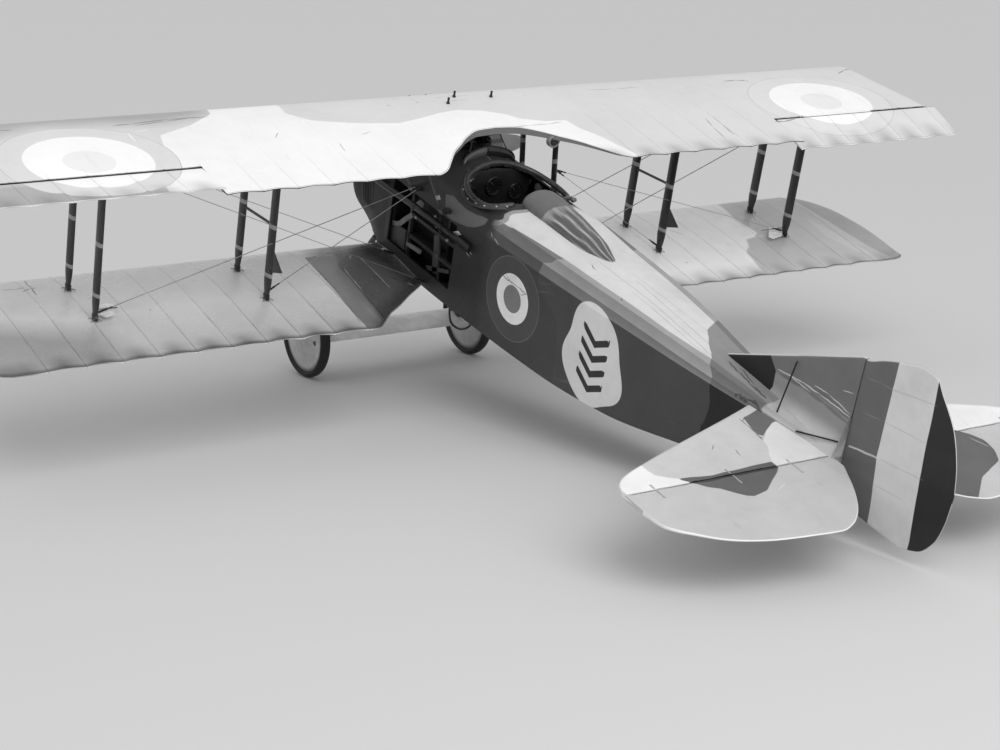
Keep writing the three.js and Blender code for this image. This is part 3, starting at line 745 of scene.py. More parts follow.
def wingShape(x, front, back, limit, plane, form, chordCells=34, extra=None, ribReach=200):
    # x, front, back and limit are one per station: the section spans front to back and stops at limit
    s = (1 - np.cos(np.linspace(0, np.pi, chordCells + 1))) / 2
    s = s * 0.55 + np.linspace(0, 1, chordCells + 1) * 0.45
    y = front[:, None] + s[None] * (limit - front)[:, None]
    share = (y - front[:, None]) / (back - front)[:, None]
    top, low = sectionHeights(share)
    chord = (back - front)[:, None]
    slack, gap, inside = slackIn(x, share, (top - low) * chord, form)
    ridge = form["tape"] * (smoothStep(2.4, 1.0, gap) * inside)[:, None] * smoothStep(0.0, 0.03, share)
    zTop = plane + top * chord - slack + ridge
    zLow = plane + low * chord + slack * 0.45
    xs = np.broadcast_to(x[:, None], y.shape)
    topSide, lowSide = np.stack([xs, y, zTop], -1), np.stack([xs, y, zLow], -1)
    # the rear face has its own edge points, so that it can be painted apart
    rear = np.stack([topSide[:, -1], lowSide[:, -1]], 1) + [0, 0.05, 0]
    ring = np.concatenate([rear[:, ::-1], topSide[:, ::-1], lowSide[:, 1:]], 1)
    cols = ring.shape[1]
    flat = ring.reshape(-1, 3)
    face = np.zeros((len(x), cols))
    face[:, :2] = 1
    under = np.zeros((len(x), cols))
    under[:, 2 + y.shape[1]:] = 1
    under[:, 0] = 1
    band = (np.abs(x) < 214)[:, None]
    edge = np.concatenate([np.zeros((len(x), 2)), (limit[:, None] - y)[:, ::-1],
                           (limit[:, None] - y)[:, 1:]], 1)
    # on the rear face outside the cut-out the gap mark is 0, and that face is painted dark as painted shade
    # in the gap
    marks = {"ribMm": np.where(inside, gap, 40)[:, None] * np.ones(cols), "rearBand": 1 - face * band,
             "rearGap": 1 - face * ~band, "underside": 0.5 - under, "edgeMm": edge,
             "ribFade": np.clip(1.15 - (back[:, None] - limit[:, None] + edge) / ribReach, 0, 1)}
    marks.update(extra(flat) if extra else {})
    return gridShape(ring, True, marks=marks, caps=(True, True))


def upperMarks(p):
    # distances to the painted outlines, in plan; a roundel is an oval about its own centre on each side
    w = upperWing
    xy, port = p[:, :2], p[:, 0] > 0
    cx, cy, wide, long = (np.where(port, a, b) for a,
                          b in zip(w["roundel"]["port"], w["roundel"]["starboard"]))
    hatches = [outlineDistance(xy, [(a, c), (b, c), (b, d), (a, d)]) for a, b, c, d in w["hatches"]]
    return {"whiteMm": outlineDistance(xy, w["whiteArea"]), "dimMm": outlineDistance(xy, w["portShadeArea"]),
            "tailMm": outlineDistance(xy, w["aileronShadeArea"]), "hatchMm": np.min(np.abs(hatches), 0),
            "roundelMm": np.hypot((np.abs(p[:, 0]) - cx) / wide, (p[:, 1] - cy) / long)}


def buildUpperWing():
    # stations close at the ribs; the rear limit follows the cut-out, the scallops and the aileron bay
    w = upperWing
    ribs = ribStations(w, 217, 1012)
    half = np.unique(np.concatenate([np.linspace(0, 217, 46), ribs, [614.2, 614.25],
                                     np.linspace(985, 1028, 12), [1012]]))
    x = np.concatenate([-half[::-1][:-1], half])
    a = np.abs(x)
    front = np.where(a > 985, linesThrough(w["tip"], a), 0)
    front = np.where(a > 985, front * 0.55 + 0.45 * 242 * smoothStep(975, 1040, a), front)
    scallop = w["scallop"] * baysAcross(a, w)[1] ** 1.3 * (a > 217)
    cut = np.minimum(curveThrough(*np.array(w["cut"]).T, np.minimum(a, 214)), w["chord"])
    limit = np.where(a < 214, cut, np.where(a <= 614.22, w["chord"] - scallop, w["bayBack"]))
    p, faces, marks = wingShape(x, front, np.full(len(x), w["chord"]), limit, w["plane"], w, 40, upperMarks)
    fainter = np.clip(marks["ribFade"] * 1.6 - 0.75, 0, 1)
    marks["ribFade"] = np.where(p[:, 0] > 0, fainter, marks["ribFade"])
    return p, faces, marks


def hingeStrip():
    # a strip of tape on the starboard wing that laps over the gap before the aileron
    x = np.linspace(*upperWing["strip"], 60)
    across = np.array([247.2, 249, 251.5, 253.8, 255.4])
    top = sectionHeights(across / upperWing["chord"])[0] * upperWing["chord"]
    top = np.maximum(top, 9.35) + [0.05, 0.25, 0.3, 0.3, 0.25]
    ring = np.stack([np.append(across, across[::-1]), np.append(top, top[::-1] - 0.22)], -1)
    p = np.concatenate([np.broadcast_to(x[:, None, None], (60, 10, 1)), np.broadcast_to(ring, (60, 10, 2))],
                       -1)
    far = {k: np.full(600, 90.0) for k in ("ribMm", "underside", "rearBand", "rearGap", "edgeMm")}
    marks = {**far, "ribFade": np.zeros(600), **upperMarks(p.reshape(-1, 3))}
    return gridShape(p, True, marks=marks, caps=(True, True))


def roundNose(x, y, z, radius, angles):
    # the front of a hinged surface: part of a circle about the hinge line, the same at every x
    a = np.radians(angles)
    yz = np.stack([y + radius * np.cos(a), z + radius * np.sin(a)], -1)
    wide = (len(x), len(a))
    return np.concatenate([np.broadcast_to(x[:, None, None], (*wide, 1)), np.broadcast_to(yz, (*wide, 2))],
                          -1)


def buildAileron(side):
    # two faces that close towards the trailing edge, hollow between the ribs, behind a round nose
    w, f = upperWing, aileronForm
    x = np.unique(np.concatenate([[w["aileronFrom"]], ribStations(w, w["aileronFrom"], 1012),
                                  np.linspace(1012, 1036, 9)]))
    gap, open01 = baysAcross(x, w)
    open01 = np.where(x > 1012, 0, open01)
    back = w["chord"] - w["scallop"] * open01 ** 1.3
    tip = curveThrough([985, 1012, 1030, 1040], [347.2, 347.0, 344, 334], x)
    back = np.where(x > 985, np.minimum(back, tip), back)
    t = np.linspace(0, 1, 16)[None]
    y = f["hinge"] + t * (back - f["hinge"])[:, None]
    thick = f["nose"] * (1 - t) + 0.9 * t
    cup = f["cup"] * open01[:, None] * np.sin(np.pi * t ** 1.5) ** 1.2
    middle = f["hingeUp"] - 5.5 * t
    zTop = middle + thick - np.minimum(cup, 2.6) + w["tape"] * smoothStep(2.4, 1.0, gap)[:, None]
    zLow = middle - thick + np.minimum(cup * 0.25, 0.7 * thick)
    zTop = np.maximum(zTop, zLow + 0.9)
    nose = roundNose(x, f["hinge"], f["hingeUp"], f["nose"], [113, 135, 158, 180, 202, 225, 247])
    xs = np.broadcast_to(x[:, None], y.shape)
    ring = np.concatenate([np.stack([xs, y, zTop], -1)[:, ::-1], nose, np.stack([xs, y, zLow], -1)], 1)
    column = np.arange(ring.shape[1]) * np.ones(ring.shape[:2])
    flat = ring.reshape(-1, 3) * [1 if side == "port" else -1, 1, 1]
    edge = np.concatenate([(back[:, None] - y)[:, ::-1], np.full((len(x), 7), 90), back[:, None] - y], 1)
    # the nose columns get a gap mark of 0 and are painted dark as painted shade in the hinge gap
    marks = {"ribMm": gap[:, None] + 0 * column, "underside": np.where(column < 20, 0.5, -0.5),
             "rearBand": 1 + 0 * column, "rearGap": (column < 16) | (column > 22), "edgeMm": edge,
             "ribFade": 1 + 0 * column, **upperMarks(flat)}
    shape = gridShape(ring, True, marks=marks, caps=(True, True))
    shape = moved(shape, turn=(0, f["rest"][side], (0, f["hinge"], f["hingeUp"])))
    return moved(shape, mirror=side == "starboard")


upperLayers = [
    # painted shade over the port leading edge outboard and over the outboard aileron
    ("dimMm", -8, 56, 176), ("tailMm", -4, 26, 176), ("whiteMm", 0, 0.9, 247),
    ("roundelMm", 152.6, 0.6, 196), ("roundelMm", 151, 0.7, 223),
    ("roundelMm", 108.5, 0.7, 252), ("roundelMm", 44, 0.7, 240), ("hatchMm", 0.5, 0.6, 150),
    # a dark row inside the bright trailing edge: painted shade
    ("edgeMm", 3.4, 0.8, 168),
    ("edgeMm", 2.0, 0.6, 244), ("underside", 0, 0.02, 214), ("rearBand", 0.5, 0.3, 122),
    # painted shade on faces in the hinge gap
    ("rearGap", 0.5, 0.3, 30),
]
# drawn lines: painted shade in creases and hinge gaps, pale strokes, and a painted highlight at the port
# hinge
upperCloth = dopedCloth("upperWingCloth", 219, upperLayers, rough=0.46, ribShade=0.3, hollow=0.4, dirt=0.13,
                        patchy=0.05,
                        lines=[(88, 0.62, upperWing["creases"]), (34, 0.92, upperWing["hingeGapShade"]),
                               (250, 0.7, upperWing["rubbed"]), (190, 0.8, upperWing["hingeHighlight"])],
                        folds=upperWing["creases"][:7])
makePiece("wing_upper_skin", buildUpperWing(), upperCloth, replaces="wing_upper",
          sharp=38)
makePiece("hinge_strip", hingeStrip(), upperCloth, sharp=50)
for side in ("port", "starboard"):
    makePiece(f"aileron_{side}_skin", buildAileron(side), upperCloth, f"aileron_{side}", f"aileron_{side}",
              sharp=50)
print("upper wing and ailerons made")

portLower = {
    # areas of painted shade and painted reflection of the dark fuselage, darker in steps towards the root,
    # and a painted shade aft near the tip
    "areas": {
        "rootMm": [(104, 64), (285, 64), (291, 112), (301, 329), (302, 350), (104, 350)],
        "frontMm": [(104, -20), (226, -20), (262, 70), (104, 70)],
        "innerMm": [(104, -20), (196, -20), (222, 72), (238, 111), (246, 200), (258, 332), (258, 350),
                    (104, 350)],
        "darkMm": [(104, -20), (160, -20), (176, 60), (150, 120), (140, 190), (128, 230), (104, 240)],
        "shadeMm": [(760, 230), (1000, 150), (1000, 360), (700, 360)],
    },
    # creases are drawn dark as painted shade in the folds, and lights as painted highlights beside them
    "creases": [(1.7, 0.6, [(811, 22), (816, 45), (815, 62), (819, 93)]),
                (1.5, 0.8, [(837, 76), (818, 65), (807, 64)]),
                (1.2, 0.8, [(868, 56), (846, 62), (823, 60)]),
                (1.4, 0.6, [(182, 73), (181, 112), (185, 212)]),
                (1.4, 0.6, [(237, 103), (241, 159), (245, 210), (253, 325)]),
                (1.0, 0.7, [(286, 104), (295, 210), (303, 312)]),
                (1.3, 0.9, [(205, 88), (189, 74), (176, 90)]), (1.2, 0.9, [(145, 85), (136, 105)]),
                (1.3, 0.8, [(121, 180), (113, 192)]), (1.9, 0, [(651, 188)]),
                (1.1, 0.9, [(160, 150), (146, 190)])],
    "lights": [(1.0, 0.8, [(178, 76), (178, 112), (181, 205)]),
               (1.1, 0.8, [(233, 120), (238, 160), (241, 205)]), (1.0, 0.9, [(823, 40), (822, 60)]),
               (1.2, 0.9, [(200, 84), (190, 70)]), (1.0, 0.9, [(135, 186), (126, 198)])],
}
starLower = {
    "areas": {
        "camoMm": [(-735, -20), (-719, 45), (-711, 74), (-700, 115), (-706, 148), (-709, 177), (-689, 190),
                   (-665, 194), (-652, 220), (-628, 241), (-624, 265), (-615, 304), (-612, 360),
                   (-1100, 360), (-1100, -20)],
        "tipMm": [(-909, -20), (-909, 114), (-917, 204), (-929, 268), (-954, 340), (-1100, 340),
                  (-1100, -20)],
        "lightMm": [(-870, 128), (-917, 321), (-890, 294), (-860, 218)],
    },
    # creases are drawn dark as painted shade in the folds
    "creases": [(1.4, 0.9, [(-300, 60), (-322, 50)]), (1.2, 0.9, [(-520, 120), (-540, 150)]),
                (1.2, 0.8, [(-760, 90), (-742, 130)]), (2.0, 0, [(-470, 250)])],
    "lights": [(1.2, 0.9, [(-690, 192), (-720, 186)]), (1.2, 0.9, [(-600, 140), (-585, 180)])],
}


def buildLowerWing(side):
    # the plan runs from the cut-back root over the scallops to the round tip
    w = lowerWing
    plan = np.array(w["plan"], float)
    ribs = ribStations(w, 290, 898)
    x = np.unique(np.concatenate([np.linspace(101, 290, 36), ribs, np.linspace(898, 982, 24)]))
    front = np.where(x > 896, curveThrough(plan[8:, 0], plan[8:, 1], np.maximum(x, 896)), w["front"])
    back = np.where(x < 285, np.interp(x, plan[:8, 0], plan[:8, 2]), np.interp(x, plan[7:, 0], plan[7:, 2]))
    back = back - w["scallop"] * baysAcross(x, w)[1] ** 1.3 * ((x > 300) & (x < 897))
    sign = 1 if side == "port" else -1
    areas = {**portLower["areas"], **starLower["areas"]}

    def extra(p):
        return {key: outlineDistance(p[:, :2] * [sign, 1], outline) for key, outline in areas.items()}

    p, f, m = wingShape(x, front, back, back, w["plane"], w, 34, extra, 420)
    # the root keeps outside the fuselage side
    hullSide = np.interp(p[:, 1], [32, 150, 232, 300, 400], [99.4, 102.4, 103.3, 102.4, 99.4])
    p[:, 0] = np.maximum(p[:, 0], hullSide + 0.3)
    return moved((p, f, m), mirror=side == "starboard")


# a dark band just inside the bright trailing edge: painted shade
edgeLayers = [("edgeMm", 4.6, 2.0, 96), ("edgeMm", 2.1, 0.6, 222)]
# port lower wing: painted light falls off from the leading edge to the trailing edge; the root areas are
# painted shade and painted reflection; the trailing edge rows are painted shade
lowerPortCloth = dopedCloth("lowerWingPortCloth", 228,
                            [("edgeMm", 70, 150, 178), ("shadeMm", -10, 70, 162), ("frontMm", 8, 46, 128),
                             ("rootMm", 0, 1.6, 134), ("innerMm", 0, 9, 96), ("darkMm", -8, 40, 50),
                             ("edgeMm", 10, 9, 112), *edgeLayers, ("underside", 0, 0.02, 206)], rough=0.27,
                            coat=0.35, ribShade=0.55, hollow=0.75, dirt=0.2,
                            lines=[(40, 0.6, portLower["creases"]), (226, 0.55, portLower["lights"])],
                            folds=portLower["creases"][:8], Coat_Roughness=0.16)
# starboard lower wing: the edge rows darken the cloth towards the trailing edge as painted shade
lowerStarCloth = dopedCloth("lowerWingStarboardCloth", 252,
                            [("edgeMm", 30, 60, 216), ("camoMm", 0, 5, 196), ("tipMm", 0, 1.2, 168),
                             ("lightMm", 0, 3, 206), ("edgeMm", 12, 22, 200), ("edgeMm", 6, 4, 120),
                             *edgeLayers, ("underside", 0, 0.02, 206)], rough=0.36, coat=0.15, ribShade=0.5,
                            hollow=0.5, dirt=0.2,
                            lines=[(60, 0.5, starLower["creases"]), (240, 0.5, starLower["lights"])],
                            Coat_Roughness=0.2)
for side, cloth in (("port", lowerPortCloth), ("starboard", lowerStarCloth)):
    makePiece(f"wing_lower_{side}_skin", buildLowerWing(side), cloth, "airframe", f"wing_lower_{side}",
              sharp=38)
print("lower wings made")


# fuselage

frames = np.array([
    [32, -42, 45, -48, 84, -68, 97, -95, 101, -118, 99, -292],
    [150, -43, 45, -49, 87, -70, 99, -96, 103, -118, 102, -295],
    [232, -51, 45, -57, 90, -74, 101, -97, 104, -118, 103, -295],
    [300, -56, 45, -61, 92, -78, 101, -98, 104, -118, 102, -295],
    [400, -61, 45, -65, 91, -79, 99, -98, 102, -118, 99, -295],
    [560, -72, 42, -75, 85, -81, 90, -99, 93, -118, 90, -294],
    [726, -78, 35, -80, 73, -84, 76, -102, 79, -118, 76, -283],
    [918, -87, 25, -90, 48, -95, 54, -110, 57, -120, 53, -247],
    [1060, -97, 18, -99, 32, -104, 37, -113, 38, -120, 35, -215],
    [1208, -110, 9, -111, 15, -113, 17, -117, 17, -120, 15, -182],
], float)
fuselage = {
    "sideRoundel": (461, -195), "aftCamo": [(-170, 770), (-100, 790), (-49, 819), (-16, 842), (11, 881),
                                            (32, 917), (50, 935), (59, 947), (71, 949), (84, 951),
                                            (98, 956), (127, 954), (147, 947), (300, 940)],
    "midCamo": [(60, 556), (82, 551), (97, 540), (106, 523), (120, 520), (132, 520), (145, 521), (154, 535),
                (167, 552), (178, 579), (196, 590), (217, 593), (330, 600)],
    "topEdge": [(360, 98), (394, 93), (430, 90), (478, 83), (562, 72), (662, 65), (821, 50), (916, 35),
                (1000, 29), (1052, 28), (1208, 18)],
    "deckDark": [(60, 0), (60, 118), (150, 118), (217, 117), (239, 110), (286, 114), (322, 109), (358, 101),
                 (374, 95), (380, 88), (370, 78), (371, 62), (380, 44), (384, 0)],
    "patch": [(217, 119), (239, 112), (286, 116), (322, 111), (353, 104), (349, 116), (340, 124),
              (326, 133), (304, 142), (279, 148), (250, 153), (234, 152)],
    "badge": {"centre": (686, 196), "size": (74, 90)},
    "bay": {"from": 46, "to": 272, "low": -264, "high": -138},
    "mouth": [[0, 219], [34, 223], [64, 240], [82, 272], [86, 306], [79, 334], [56, 352], [20, 360]],
    "sag": 0.8, "rearCells": [3, 3, 14, 14, 5, 6, 8, 8],
    "markings": [("roundelMm", 76.3, 0.6, 118), ("roundelMm", 75.2, 0.6, 72), ("roundelMm", 45.5, 0.6, 244),
                 ("roundelMm", 25, 0.6, 128), ("badgeMm", 0, 0.8, 226), ("barsMm", 0, 0.6, 38)],
    "deckLines": [(0.8, 0.3, [(2, 664), (8, 787), (13, 903), (19, 988)]),
                  (0.9, 0.3, [(23, 588), (21, 730), (28, 880), (34, 1019)]),
                  (0.7, 0.4, [(33, 700), (36, 860), (30, 1040)]),
                  (0.7, 0.3, [(-8, 640), (-12, 800), (-18, 980)])],
    "deckTears": [(1.5, 0.6, [(13, 935), (18, 970), (22, 1005), (22, 1047)]),
                  (1.2, 0.6, [(44, 1000), (39, 1030), (36, 1052)]), (1.1, 0.8, [(8, 960), (17, 1010)]),
                  (0.9, 0.9, [(60, 705), (66, 716)]), (0.9, 0.9, [(42, 588), (46, 610)])],
    "sideScrapes": [(1.0, 0.9, [(304, -161), (329, -169)]), (0.8, 0.9, [(299, -167), (324, -176)]),
                    (0.7, 0.9, [(310, -158), (322, -163)]), (0.7, 0.9, [(384, -112), (401, -118)]),
                    (0.6, 0.9, [(372, -106), (380, -113)]), (0.6, 0.9, [(640, -150), (655, -156)])],
    "sideMarks": [(1.2, 0.5, [(424, -166), (447, -167), (471, -166), (495, -170)]),
                  (0.8, 0.8, [(436, -160), (460, -172)]), (0.7, 0.9, [(478, -176), (500, -170)])],
}


def ringCorners(y):
    # nine corners from keel to spine at each y: (n, 9, 2) of x and z
    v = [None] + bandsThrough(frames, y)
    zero = np.zeros_like(v[1])
    pairs = [(zero, v[11]), (v[10] * 0.55, v[11]), (v[10], v[11]), ((v[10] + v[8]) / 2, (v[11] + v[9]) / 2),
             (v[8], v[9]), (v[6], v[7]), (v[4], v[5]), (v[2], v[3]), (zero, v[1])]
    return np.stack([np.stack(pair, -1) for pair in pairs], 1)


def ringPoint(corners, r):
    # r runs 0 at the keel, 8 at the spine and 16 at the keel again; straight between corners
    r = np.mod(r, 16)
    back = np.where(r > 8, 16 - r, r)
    i = np.clip(np.floor(back).astype(int), 0, 7)
    t = (back - i)[..., None]
    rows = np.arange(len(corners))[:, None]
    p = corners[rows, i] * (1 - t) + corners[rows, i + 1] * t
    return p * np.where(r > 8, -1, 1)[..., None] * [1, 0] + p * [0, 1]


def softCorners(corners, r):
    # the upper corners rounded by a mean over nearby r
    reach = 0.62 * smoothStep(4.0, 4.6, np.minimum(r, 16 - r))
    return np.mean([ringPoint(corners, r + reach * k) for k in np.linspace(-1, 1, 9)], 0)


def hullSurface(y, r, roundness, sag):
    # y is (n,), r is (n, m), roundness and sag one per station;
    # between corners the cloth sinks in by the sag
    corners = ringCorners(y)
    w = roundness[:, None, None]
    p = ringPoint(corners, r) * (1 - w) + softCorners(corners, r) * w
    part = np.mod(r, 1)
    dip = 4 * part * (1 - part) * sag[:, None] * (1 - roundness[:, None]) * smoothStep(3.9, 4.1,
        np.minimum(r, 16 - r))
    centre = np.stack([np.zeros(len(y)), corners[:, 4, 1] - 20], -1)[:, None]
    away = p - centre
    p = p - away / np.linalg.norm(away, axis=-1, keepdims=True) * dip[..., None]
    return np.stack([p[..., 0], np.broadcast_to(y[:, None], r.shape), p[..., 1]], -1)


def girthOf(p, r):
    # arc length from the spine, port positive
    run = np.array([runAlong(row) for row in p[..., [0, 2]]])
    top = np.array([np.interp(8, r[k], run[k]) for k in range(len(p))])
    return top[:, None] - run


def hullMarks(p, r):
    # paint fields on the skin, from y, z and girth
    f = fuselage
    y, z, girth = p[..., 1], p[..., 2], girthOf(p, r)
    side = np.abs(girth)
    back = np.minimum(r, 16 - r)
    cy, cz = f["sideRoundel"]
    onSide = (back > 1.9) & (back < 5.2)
    camo, mid, top = (np.array(f[k], float) for k in ("aftCamo", "midCamo", "topEdge"))
    plan = np.stack([y, side], -1).reshape(-1, 2)
    u, w = y - f["badge"]["centre"][0], side - f["badge"]["centre"][1]
    wave = 1 + 0.07 * np.sin(3 * np.arctan2(w, u) + 0.6) + 0.04 * np.sin(5 * np.arctan2(w, u))
    badge = (np.hypot(u / f["badge"]["size"][0], w / f["badge"]["size"][1]) / wave - 1) * 78
    bars = np.min([np.maximum(np.abs(w - c + 0.62 * np.abs(u) - 8) - 6.5, np.abs(u) - 34)
                   for c in (-34, -6, 22, 50)], 0)
    return {
        "backMm": y, "girthMm": girth, "ringPlace": back,
        "topMm": np.interp(y, top[:, 0], top[:, 1]) - side,
        "roundelMm": np.where(onSide, np.hypot(y - cy, z - cz), 400),
        "aftMm": np.interp(girth, camo[:, 0], camo[:, 1]) - y,
        "foreMm": y - np.interp(side, mid[:, 0], mid[:, 1]),
        "deckMm": outlineDistance(plan, f["deckDark"]), "patchMm": outlineDistance(plan, f["patch"]),
        "badgeMm": badge, "barsMm": np.maximum(bars, badge + 14),
        "seamMm": np.where((y < 409), np.abs(side - 158), 60),
    }


def evenRing(perPart):
    # r values with perPart[k] cells between corners k and k + 1, keel to spine and round again
    half = np.concatenate([np.linspace(k, k + 1, n + 1)[:-1] for k, n in enumerate(perPart)] + [[8]])
    return np.concatenate([half, (16 - half[::-1])[1:-1]])


def buildRearFuselage():
    # the facets are true from 28 mm behind the round part
    f = fuselage
    y = np.unique(np.concatenate([np.arange(400, 1208, 5.5), [1208]]))
    ring = evenRing(f["rearCells"])
    r = np.broadcast_to(ring, (len(y), len(ring)))
    p = hullSurface(y, r, smoothStep(428, 400, y), np.full(len(y), f["sag"]))
    return gridShape(p, True, marks=hullMarks(p, r), caps=(True, True))


def buildMidFuselage():
    # one wall; rows and columns run along the edges of the bay, and cells in an opening are left out
    f, bay = fuselage, fuselage["bay"]
    y = np.unique(np.concatenate([np.linspace(32.3, 46, 5), np.linspace(46, 272, 58),
                                  np.linspace(272, 400, 36)]))
    corners = ringCorners(y)
    low, high = (2 + 2 * (bay[k] - corners[:, 2, 1]) / (corners[:, 4, 1] - corners[:, 2, 1])
                 for k in ("low", "high"))
    part = lambda a, b, n: a[:, None] + (b - a)[:, None] * np.linspace(0, 1, n + 1)[None, :-1]
    one = np.ones(len(y))
    half = np.concatenate([part(0 * one, 2 * one, 10), part(2 * one, low, 6), part(low, high, 24),
                           part(high, 4 * one, 4), part(4 * one, 8 * one, 44), 8 * one[:, None]], 1)
    r = np.concatenate([half, (16 - half[:, ::-1])[:, 1:-1]], 1)
    p = hullSurface(y, r, one, 0 * one)
    middle = (p[:-1] + p[1:]) / 2
    middle = (middle + np.roll(middle, -1, 1)) / 2
    rowsIn = (middle[..., 1] > bay["from"]) & (middle[..., 1] < bay["to"])
    column = np.arange(r.shape[1])[None]
    inBay = rowsIn & (column >= 16) & (column < 40)
    mouth = np.array(f["mouth"] + [[-x, v] for x, v in f["mouth"][:0:-1]], float)
    grown = mouth + np.sign(mouth - [0, 300]) * 2.5
    inMouth = (outlineDistance(middle[..., :2].reshape(-1, 2), grown)
               < 0).reshape(inBay.shape) & (middle[..., 2] > -112)
    return gridShape(p, True, keep=~(inBay | inMouth), marks=hullMarks(p, r))


# facet tones: the steps between them are painted shading over the paints
hullTones = {
    "top": 213, "bandOne": 158, "bandTwo": 124, "side": 66, "foreOne": 118, "foreTwo": 84, "foreSide": 60,
    "nose": 33,
    "deckDark": 42, "patch": 100, "aftTop": 138, "aftOne": 112, "aftTwo": 108, "aftSide": 8,
}


def facets(tree, top, one, two, side):
    # light above the top edge, then a tone for each facet down to the side; the steps from facet to facet
    # are painted shading over the paint, which is dark on the side
    upper = painted(tree, mark(tree, "topMm"), 0, 0.8, 0.5)
    colour = blendColour(tree, upper, grey(hullTones[top]), grey(hullTones[one]))
    return layerColour(tree, colour,
                       [("ringPlace", 5.0, 0.03, hullTones[two]),
                        ("ringPlace", 4.03, 0.03, hullTones[side])], 0.01)


def hullColour(tree):
    # facets in three paints fore and aft with painted shading from facet to facet, a dark nose and deck,
    # painted shade on the side towards the front, markings, drawn lines, clouds and smudges
    f, tones = fuselage, hullTones
    back, corner = mark(tree, "backMm"), mark(tree, "ringPlace")
    colour = facets(tree, "top", "bandOne", "bandTwo", "side")
    fore = painted(tree, mark(tree, "foreMm"), 0, 1.0)
    colour = blendColour(tree, fore, colour, facets(tree, "top", "foreOne", "foreTwo", "foreSide"))
    colour = layerColour(tree, colour, [("deckMm", 11, 2, 154)], 3)
    front = span(tree, plus(tree, back, times(tree, clouds(tree, 40, 3), 24)), 400, 372)
    front = times(tree, front, span(tree, mark(tree, "topMm"), 0.5, -0.5))
    colour = blendColour(tree, front, colour, grey(tones["nose"]))
    # painted shade: the side below the corner darkens towards the front
    deep = times(tree, span(tree, back, 520, 360, 0, 0.4), span(tree, corner, 4.1, 3.9))
    colour = blendColour(tree, deep, colour, grey(36))
    colour = layerColour(tree, colour,
                         [("patchMm", 0, 1.4, tones["patch"]), ("deckMm", 0, 1.4, tones["deckDark"])], 2.5)
    aft = painted(tree, mark(tree, "aftMm"), 0, 1.0, 5.0)
    colour = blendColour(tree, aft, colour, facets(tree, "aftTop", "aftOne", "aftTwo", "aftSide"))
    tailEnd = span(tree, plus(tree, back, times(tree, clouds(tree, 60, 3), 26)), 1071, 1075)
    colour = blendColour(tree, times(tree, tailEnd, span(tree, corner, 3.8, 4.0)), colour, grey(184))
    colour = layerColour(tree, colour, f["markings"], 0.3)
    girth = mark(tree, "girthMm")
    colour = drawnLines(tree, colour, 120, 0.4, f["deckLines"])
    colour = drawnLines(tree, colour, 42, 0.75, f["deckTears"], wander=2.6)
    colour = drawnLines(tree, colour, 205, span(tree, girth, 60, 90), f["sideScrapes"], (0, 1, 1))
    colour = drawnLines(tree, colour, 44, span(tree, girth, 60, 90, 0, 0.7), f["sideMarks"], (0, 1, 1), 3.5)
    colour = blendColour(tree, span(tree, mark(tree, "seamMm"), 1.0, 0.4, 0, 0.7), colour, grey(16))
    colour = dimmed(tree, mottle(tree, 8, 4, 0.6, 0, 0.16), colour, grey(200))
    smudge = useGroup(tree, grime, {"Size": 7, "Amount": 0.26})
    colour = dimmed(tree, smudge["Mask"], colour, grey(160))
    return blendColour(tree, times(tree, smudge["Scratches"], 0.08), colour, grey(170))


def hullBump(tree):
    # the cloth's relief with the seams sunk in
    seam = times(tree, span(tree, mark(tree, "seamMm"), 0.4, 1.6), 4.0)
    return bump(tree, clothBump(tree, 1.0, 30, 3, seam), 0.00025, 0.5)


def insidePaint():
    # bare ply inside the shell: drawn-out noise; its near-black tone is painted shade inside the shell
    stretch = (3, 0.4, 3)
    figure = lambda tree: clouds(tree, 20, 5, 0.62, stretch)
    return newMaterial("shadedInsidePly", lambda tree: blendColour(tree, span(tree, figure(tree), 0.3, 0.7),
        grey(14), grey(30)), lambda tree: span(tree, figure(tree), 0.3, 0.7, 0.6, 0.8), 0, 0,
                       rippled(20, 5, 0.62, 0.0003, 0.4, stretch))


def thickened(piece, wall, inner):
    # the wall is added by a modifier and kept in the mesh, so that its rim can have sharp edges
    piece.data.materials.append(inner)
    shell = piece.modifiers.new("wall", "SOLIDIFY")
    shell.thickness, shell.offset, shell.material_offset, shell.material_offset_rim = wall, -1, 1, 0
    bpy.context.view_layer.update()
    whole = bpy.data.meshes.new_from_object(piece.evaluated_get(bpy.context.evaluated_depsgraph_get()))
    piece.modifiers.clear()
    piece.data = whole
    whole.set_sharp_from_angle(angle=math.radians(35))


fuselageCloth = newMaterial("fuselagePaint", hullColour, mottled(13, 4, 0.6, 0.46, 0.62), 0, 0.03, hullBump)
shadedInsidePly = insidePaint()
makePiece("fuselage_rear_skin", buildRearFuselage(), fuselageCloth, replaces="fuselage_rear",
          sharp=9)
midSkin = makePiece("fuselage_mid_skin", buildMidFuselage(), fuselageCloth, replaces="fuselage_mid",
                    sharp=35)
thickened(midSkin, 0.0028, shadedInsidePly)
print("fuselage made")


def noseSurface(y, r):
    # rings go from a circle at the front to the first frame; the share of the frame grows aft
    t = -np.pi / 2 + r * np.pi / 8
    radius, share = (band[:, None] for band in bandsThrough(cowl["rows"], y))
    ring = softCorners(ringCorners(np.full(len(y), 32.0)), r)
    x = radius * np.cos(t) * (1 - share) + ring[..., 0] * share
    z = (cowl["centre"] + radius * np.sin(t)) * (1 - share) + ring[..., 1] * share
    return np.stack([x, np.broadcast_to(y[:, None], r.shape), z], -1)


cowl = {
    "centre": -189, "rows": [[-106, 90, 0], [-103, 97, 0], [-94, 103, 0], [-70, 105, 0.12],
                             [-35, 105, 0.42], [0, 105, 0.8], [32, 105, 1]],
    "seams": [-82, -8, 26], "louvres": {"from": -60, "to": -20, "count": 7, "low": -235, "high": -150},
}


